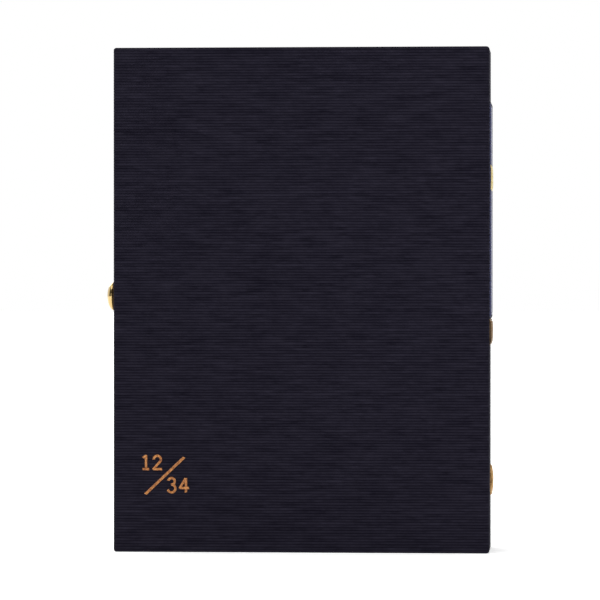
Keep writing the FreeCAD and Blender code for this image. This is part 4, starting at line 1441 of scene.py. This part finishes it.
    def build(self) -> None:
        """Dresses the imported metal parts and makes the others."""
        finish_node("button_bezel", POLISHED_BRASS)
        for name in ("hinge_leaf_spine", "hinge_leaf_front", "button_stem", "catch_block", "keeper",
                     "catch_housing"):
            finish_node(name, ROLLED_BRASS)
        for name in ("hinge_pin", "stem_clip", "catch_leaf_foot", "catch_leaf_arm"):
            finish_node(name, SPRING_STEEL)
        self.button()
        self.spring()
        self.fastenings()


# ---------------------------------------------------------------- embroidery and felt


@dataclass
class Numerals:
    """The stitched number on the back cover: two digits, a slash and two digits."""

    case: CaseSizes
    makers: Makers
    width: float = 0.84 * MM
    slash_share: float = 1.14
    spacing: float = 0.30 * MM
    advance: float = 4.75 * MM
    scale: float = 0.93
    upper: Flat = (10.9 * MM, 32.9 * MM)
    lower: Flat = (21.4 * MM, 23.9 * MM)
    slash: tuple[Flat, Flat] = ((12.9 * MM, 23.1 * MM), (28.1 * MM, 37.5 * MM))

    @staticmethod
    def bow(start: Flat, middle: Flat, end: Flat, steps: int = 18) -> list[Flat]:
        """Points on the arc through three points."""
        (ax, ay), (bx, by), (cx, cy) = start, middle, end
        d = 2 * (ax * (by - cy) + bx * (cy - ay) + cx * (ay - by))
        sa, sb, sc = ax * ax + ay * ay, bx * bx + by * by, cx * cx + cy * cy
        ux = (sa * (by - cy) + sb * (cy - ay) + sc * (ay - by)) / d
        uy = (sa * (cx - bx) + sb * (ax - cx) + sc * (bx - ax)) / d
        angles = [math.atan2(y - uy, x - ux) for x, y in (start, middle, end)]
        sweep = (angles[2] - angles[0]) % (2 * math.pi)
        if (angles[1] - angles[0]) % (2 * math.pi) > sweep:
            sweep -= 2 * math.pi
        radius = math.hypot(ax - ux, ay - uy)
        turns = [angles[0] + sweep * i / steps for i in range(steps + 1)]
        return [(ux + radius * math.cos(t), uy + radius * math.sin(t)) for t in turns]

    def strokes(self, digit: str) -> list[list[Flat]]:
        """The strokes of a digit in its cell, in millimetres."""
        drawn = {
            "1": [[(1.1, 4.9), (2.3, 5.7)], [(2.3, 5.75), (2.3, 0.0)], [(1.0, 0.0), (3.5, 0.0)]],
            "2": [[*self.bow((0.5, 4.3), (2.1, 5.7), (3.4, 3.5)), (0.4, 0.0)], [(0.3, 0.0), (3.9, 0.0)]],
            "3": [self.bow((0.6, 5.0), (3.3, 4.4), (1.9, 3.1)),
                  self.bow((1.9, 3.1), (3.6, 1.4), (0.4, 0.8))],
            "4": [[(3.0, 5.7), (3.0, 0.0)], [(2.8, 5.7), (0.4, 1.7)], [(0.4, 1.7), (4.1, 1.7)]],
        }
        return drawn[digit]

    def stitched(self, name: str, node: str, lines: Sequence[Sequence[Flat]], width: float,
                 seed: int) -> None:
        """Stitches lines, in metres from the cover's lower corner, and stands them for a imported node."""
        points: list[Point] = []
        edges: list[tuple[int, int]] = []
        for number, line in enumerate(lines):
            start = len(points)
            points += [(u, v, 0.004 * MM * number) for u, v in line]
            edges += [(start + i, start + i + 1) for i in range(len(line) - 1)]
        seat = Side.BACK.seat(Vector((self.case.left, self.case.back.y, 0.0)))
        piece = self.makers.satin.run(name, points, edges, ORANGE_THREAD, seat, Spacing=self.spacing,
                                      Width=width, Thread=0.165 * MM, Rise=0.16 * MM, Slant=0.30, Wander=0.10,
                                      Seed=seed)
        settle(piece, "back_half", "orange_gold_thread", node)

    def digits(self, text: str, cell: Flat) -> list[list[Flat]]:
        """The strokes of several digits, placed side by side."""
        lines = []
        for place, digit in enumerate(text):
            for stroke in self.strokes(digit):
                start, unit = cell[0] + place * self.advance, self.scale * MM
                lines.append([(start + u * unit, cell[1] + v * unit) for u, v in stroke])
        return lines

    def build(self) -> None:
        """Stitches the number."""
        self.stitched("upper_digits_satin", "number_upper", self.digits("12", self.upper), self.width, 11)
        self.stitched("slash_satin", "number_slash", [self.slash], self.width * self.slash_share, 12)
        self.stitched("lower_digits_satin", "number_lower", self.digits("34", self.lower), self.width, 13)


def pair_edges(count: int) -> list[tuple[int, int]]:
    """An edge for every two points."""
    return [(i, i + 1) for i in range(0, count, 2)]


def rounded_rectangle(low: Flat, high: Flat, radius: float, steps: int = 5) -> list[Flat]:
    """A rectangle with round corners, anticlockwise."""
    points: list[Flat] = []
    for x, y, start in ((high[0] - radius, low[1] + radius, -90), (high[0] - radius, high[1] - radius, 0),
                        (low[0] + radius, high[1] - radius, 90), (low[0] + radius, low[1] + radius, 180)):
        points += arc((x, y), radius, start, start + 90, steps)
    return points


def inner_rectangle(low: Vector, high: Vector, axis: int, inset: float, radius: float) -> list[Flat]:
    """A rounded rectangle inside a box, across one axis and up Z."""
    return rounded_rectangle((low[axis] + inset, low.z + inset), (high[axis] - inset, high.z - inset), radius)


OVERCAST_INSET = 0.25 * MM


def overcast(thick: float) -> dict[str, float]:
    """The stitches that hold the edge of felt of a given thickness."""
    return {"Spacing": 1.15 * MM, "Width": 1.35 * MM, "Thread": 0.12 * MM, "Rise": 0.15 * MM, "Slant": 0.30,
            "Pad": 0.08, "Wander": 0.12, "Lift": thick - 0.03 * MM, "Drop": thick - 0.08 * MM}


@dataclass
class SpineWork:
    """Felt and thread on the spine: a blue panel, two bands and a roundel."""

    case: CaseSizes
    makers: Makers
    thread: float = 0.21 * MM
    pitch: float = 0.36 * MM
    ground: float = 0.1 * MM
    ragged: float = 0.14 * MM
    ragged_turn: float = 2.399

    def seat(self) -> Matrix:
        """The spine's face as a drawing of (Y, Z, out)."""
        return Side.SPINE.seat(Vector((self.case.right, 0.0, 0.0)))

    def panel(self) -> None:
        """The felt panel, with overcast stitches round its edge."""
        low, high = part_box("spine_felt_panel")
        thick = high.x - low.x
        outline = inner_rectangle(low, high, 1, 0.0, 2.0 * MM)
        felt = slab("spine_panel_felt", outline, thick, 0.22 * MM, self.seat(), BLUE_FELT)
        settle(felt, "back_half", "blue_felt", "spine_felt_panel")
        guide = inner_rectangle(low, high, 1, OVERCAST_INSET, 1.75 * MM)
        edge = self.makers.satin.run_ring("spine_panel_overcast", guide, DARK_THREAD, self.seat(),
                                          **overcast(thick), Seed=21)
        settle(edge, "back_half", "blue_felt")

    def band(self, name: str, node: str, slot: str, finish: Finish, base: float, seed: int) -> None:
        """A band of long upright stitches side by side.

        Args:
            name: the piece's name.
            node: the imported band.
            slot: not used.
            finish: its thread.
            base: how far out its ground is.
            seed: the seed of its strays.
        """
        low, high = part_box(node)
        count = round((high.y - low.y) / self.pitch)
        points: list[Point] = []
        for i in range(count):
            y = low.y + self.pitch * 0.5 + (high.y - low.y - self.pitch) * i / (count - 1)
            ragged = abs(self.ragged * math.sin(i * self.ragged_turn))
            points += [(y, low.z + self.thread + ragged, base), (y, high.z - self.thread - ragged, base)]
        rise = high.x - self.case.right - base - self.thread
        self.threads(name, points, finish, rise, seed, slot, node)

    def threads(self, name: str, points: Sequence[Point], finish: Finish, rise: float, seed: int,
                *says: str) -> None:
        """Lays a thread between every two points, and settles them on the back half."""
        piece = self.makers.rows.run(name, points, pair_edges(len(points)), finish, self.seat(),
                                     Thread=self.thread, Rise=rise, Stray=STRAY, Seed=seed)
        settle(piece, "back_half", *says)

    def padding(self, name: str, slot: str, outline: Sequence[Flat], thick: float, finish: Finish) -> None:
        """The pad under a band or roundel."""
        settle(slab(name, outline, thick, thick * 0.6, self.seat(), finish), "back_half", slot)

    def roundel(self) -> None:
        """A padded disc of upright stitches."""
        low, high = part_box("spine_roundel")
        centre_y, centre_z = middle_of(low, high, 1)
        radius, base = (high.y - low.y) / 2, self.ground
        count = round(2 * radius / self.pitch)
        points: list[Point] = []
        for i in range(count):
            offset = -radius + (i + 0.5) * 2 * radius / count
            reach = math.sqrt(max(radius * radius - offset * offset, 0.0)) - self.thread * 0.5
            points += [(centre_y + offset, centre_z + end, base) for end in (-reach, reach)]
        rise = high.x - low.x - base - self.thread
        self.threads("roundel_satin", points, GOLD_THREAD, rise, 25, "orange_gold_thread", "spine_roundel")
        outline = arc((centre_y, centre_z), radius - 0.35 * MM, 0, 350, 35)
        self.padding("roundel_pad", "orange_gold_thread", outline, 0.85 * MM, GOLD_THREAD)

    def build(self) -> None:
        """Makes the spine's work."""
        self.panel()
        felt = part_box("spine_felt_panel")[1].x - self.case.right
        self.band("upper_band_satin", "spine_upper_band", "cream_gold_thread", CREAM_THREAD,
                  felt - 0.05 * MM, 23)
        self.band("lower_band_satin", "spine_lower_band", "bronze_thread", BRONZE_THREAD, self.ground, 24)
        low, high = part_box("spine_lower_band")
        outline = inner_rectangle(low, high, 1, 0.5 * MM, 1.0 * MM)
        self.padding("lower_band_pad", "bronze_thread", outline, high.x - low.x - 0.4 * MM, BRONZE_THREAD)
        self.roundel()


@dataclass
class FrontWork:
    """Felt and thread on the front cover: a stitched border, and a star on a disc."""

    case: CaseSizes
    makers: Makers
    points: int = 8
    pitch: float = 0.36 * MM
    long_arm: float = 0.86
    short_arm: float = 0.56
    waist: float = 0.27
    ridge: float = 0.12 * MM

    def seat(self) -> Matrix:
        """The front cover's face as a drawing of (-X, Z, out)."""
        return Side.FRONT.seat(Vector((0.0, self.case.front.y, 0.0)))

    def border(self) -> None:
        """A satin line round the cover, inside its edge."""
        low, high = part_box("front_border")
        half = 0.6 * MM
        corners = (-high.x + half, low.z + half), (-low.x - half, high.z - half)
        outline = rounded_rectangle(*corners, 0.8 * MM, 3)
        piece = self.makers.satin.run_ring(
            "border_satin", outline, ORANGE_THREAD, self.seat(), Spacing=0.34 * MM, Width=1.15 * MM,
            Thread=0.19 * MM, Rise=0.14 * MM, Slant=0.1, Wander=0.05, Seed=31)
        settle(piece, "front_half", "orange_gold_thread", "front_border")

    def disc(self) -> None:
        """The felt disc, with an overcast edge and a satin ring."""
        low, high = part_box("front_felt_disc")
        across, up = middle_of(low, high, 0)
        centre = (-across, up)
        radius = (high.z - low.z) / 2
        face = high.y - low.y
        felt = slab("disc_felt", arc(centre, radius, 0, 356.25, 95), face, 0.3 * MM, self.seat(), BLUE_FELT)
        settle(felt, "front_half", "blue_felt", "front_felt_disc")
        edge = arc(centre, radius - OVERCAST_INSET, 0, 357, 119)
        piece = self.makers.satin.run_ring("disc_overcast", edge, DARK_THREAD, self.seat(),
                                           **overcast(face), Seed=32)
        settle(piece, "front_half", "blue_felt")
        ring = arc(centre, radius - 2.6 * MM, 0, 357, 119)
        piece = self.makers.satin.run_ring(
            "disc_ring_satin", ring, CREAM_THREAD, self.seat(), Spacing=0.34 * MM, Width=0.9 * MM,
            Thread=0.17 * MM, Rise=0.12 * MM, Slant=0.1, Wander=0.08, Lift=face - 0.06 * MM, Seed=33)
        settle(piece, "front_half", "cream_gold_thread")

    def star(self) -> None:
        """Eight arms, each of threads laid across it from edge to ridge."""
        low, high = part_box("front_felt_star")
        across, up = middle_of(low, high, 0)
        centre = (-across, up)
        reach = (high.z - low.z) / 2
        waist = reach * self.waist / self.long_arm
        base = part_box("front_felt_disc")[1].y - self.case.front.y
        points: list[Point] = []
        for arm in range(self.points):
            angle = math.radians(90 + arm * 360 / self.points)
            length = reach if arm % 2 == 0 else reach * self.short_arm / self.long_arm
            half_turn = math.radians(180 / self.points)
            ahead = Vector((math.cos(angle), math.sin(angle)))
            side = Vector((-math.sin(angle), math.cos(angle)))
            tip, start = length, waist * math.cos(half_turn)
            wide = waist * math.sin(half_turn)
            for leaf in (1, -1):
                steps = int(tip / self.pitch)
                for i in range(steps):
                    out = (i + 0.5) / steps * tip
                    spread = wide * (tip - out) / (tip - start) if out > start else wide * out / start
                    ridge = ahead * out
                    edge = ahead * (out - spread * 0.5) + side * (leaf * spread)
                    if (edge - ridge).length < self.ridge:
                        continue
                    ridge_point = (centre[0] + ridge.x, centre[1] + ridge.y, base + self.ridge)
                    points += [ridge_point, (centre[0] + edge.x, centre[1] + edge.y, base)]
        piece = self.makers.rows.run("star_satin", points, pair_edges(len(points)), CREAM_THREAD,
                                     self.seat(), Thread=0.2 * MM, Rise=0.16 * MM, Stray=STRAY, Seed=34)
        settle(piece, "front_half", "cream_gold_thread", "front_felt_star")

    def build(self) -> None:
        """Makes the front's work."""
        self.border()
        self.disc()
        self.star()


# ---------------------------------------------------------------- studio


@dataclass
class Studio:
    """A pale floor, soft lamps and the camera."""

    yaw: float = 4.0
    distance: float = 1.4738
    eye: float = 0.1069
    lens: float = 223.7
    aim: Point = (0.00095, -0.020, 0.09996)
    dim: float = 0.07
    ceiling: float = 0.55
    floor_radius: float = 12.0

    def camera(self) -> None:
        """Looks at the back cover from a little towards the spine."""
        turn = math.radians(self.yaw)
        aim = Vector(self.aim)
        place = Vector((aim.x + self.distance * math.sin(turn), aim.y - self.distance * math.cos(turn),
                        self.eye))
        data = bpy.data.cameras.new("camera")
        data.lens = self.lens
        data.sensor_width = 36.0
        data.clip_start = 0.05
        camera = bpy.data.objects.new("camera", data)
        camera.location = place
        camera.rotation_euler = (aim - place).to_track_quat("-Z", "Y").to_euler()
        bpy.context.scene.collection.objects.link(camera)
        bpy.context.scene.camera = camera

    def lamp(self, name: str, place: Point, size: float, power: float) -> None:
        """A square soft lamp aimed at the case."""
        data = bpy.data.lights.new(name, "AREA")
        data.energy = power
        data.size = size
        self.aimed(name, data, place)

    def daylight(self, name: str, place: Point, width: float, strength: float) -> None:
        """Even soft light from one direction, as wide as an overcast window."""
        data = bpy.data.lights.new(name, "SUN")
        data.energy = strength
        data.angle = math.radians(width)
        self.aimed(name, data, place)

    @staticmethod
    def aimed(name: str, data: bpy.types.Light, place: Point) -> None:
        """Hangs a light and aims it at the case."""
        light = bpy.data.objects.new(name, data)
        light.location = place
        light.rotation_euler = (Vector((0, 0, 0.1)) - Vector(place)).to_track_quat("-Z", "Y").to_euler()
        bpy.context.scene.collection.objects.link(light)

    def floor(self) -> None:
        """A wide disc of pale paper under the case."""
        rim = arc((0.0, 0.0), self.floor_radius, 0, 354.375, 63)
        points = [(x, y, 0.0) for x, y in rim]
        floor = mesh_object("studio_floor", points, [list(range(len(points)))], STUDIO_PAPER)

    def sky(self) -> None:
        """A white backdrop, and a studio that is dark on one side, for polished metal to show."""
        world = bpy.data.worlds.new("studio")
        bpy.context.scene.world = world
        world.use_nodes = True
        bench = Bench(world.node_tree)
        place = bench.add("ShaderNodeTexCoord").outputs["Generated"]
        parts = bench.add("ShaderNodeSeparateXYZ", {}, {0: place})
        back, up = Signal(bench, parts.outputs[1]), Signal(bench, parts.outputs[2])
        wall = self.step(back, 0.10, 0.45)
        ceiling = self.step(up, 0.78, 0.96)
        level = (wall + ceiling * self.ceiling).math("MINIMUM", 1.0) * (1.0 - self.dim) + self.dim
        seen = bench.signal("ShaderNodeLightPath", {}, {}, "Is Camera Ray")
        glow = bench.add("ShaderNodeBackground", {}, {
            "Color": (1.0, 1.0, 1.0), "Strength": level.math("MAXIMUM", seen)})
        bench.add("ShaderNodeOutputWorld", {}, {0: glow.outputs[0]})

    @staticmethod
    def step(signal: Signal, low: float, high: float) -> Signal:
        """A smooth rise from 0 to 1 as the signal goes from low to high."""
        values = {"Value": signal, "From Min": low, "From Max": high}
        return signal.bench.signal("ShaderNodeMapRange", {"interpolation_type": "SMOOTHSTEP"}, values)

    def build(self) -> None:
        """Sets up the studio."""
        scene = bpy.context.scene
        scene.view_settings.view_transform = "Standard"
        self.camera()
        self.floor()
        self.sky()
        self.daylight("overhead_light", (-0.35, -0.30, 1.9), 45.0, 1.85)
        self.lamp("window_lamp", (-1.3, -0.85, 0.28), 0.7, 1.9)
        self.lamp("fill_lamp", (0.32, -0.62, 0.03), 0.3, 1.7)
        self.lamp("back_lamp", (-0.7, 1.9, 0.9), 0.9, 9.0)


def main() -> None:
    """Builds the sub-assemblies in order."""
    logging.basicConfig(level=logging.INFO, format="%(message)s")
    case = CaseSizes()
    makers = Makers()
    Studio().build()
    CoveredBoards(case).build()
    PageBlock(case).build()
    Linings(case).build()
    Metalwork(makers).build()
    Numerals(case, makers).build()
    SpineWork(case, makers).build()
    FrontWork(case, makers).build()


if __name__ == "__main__":
    main()
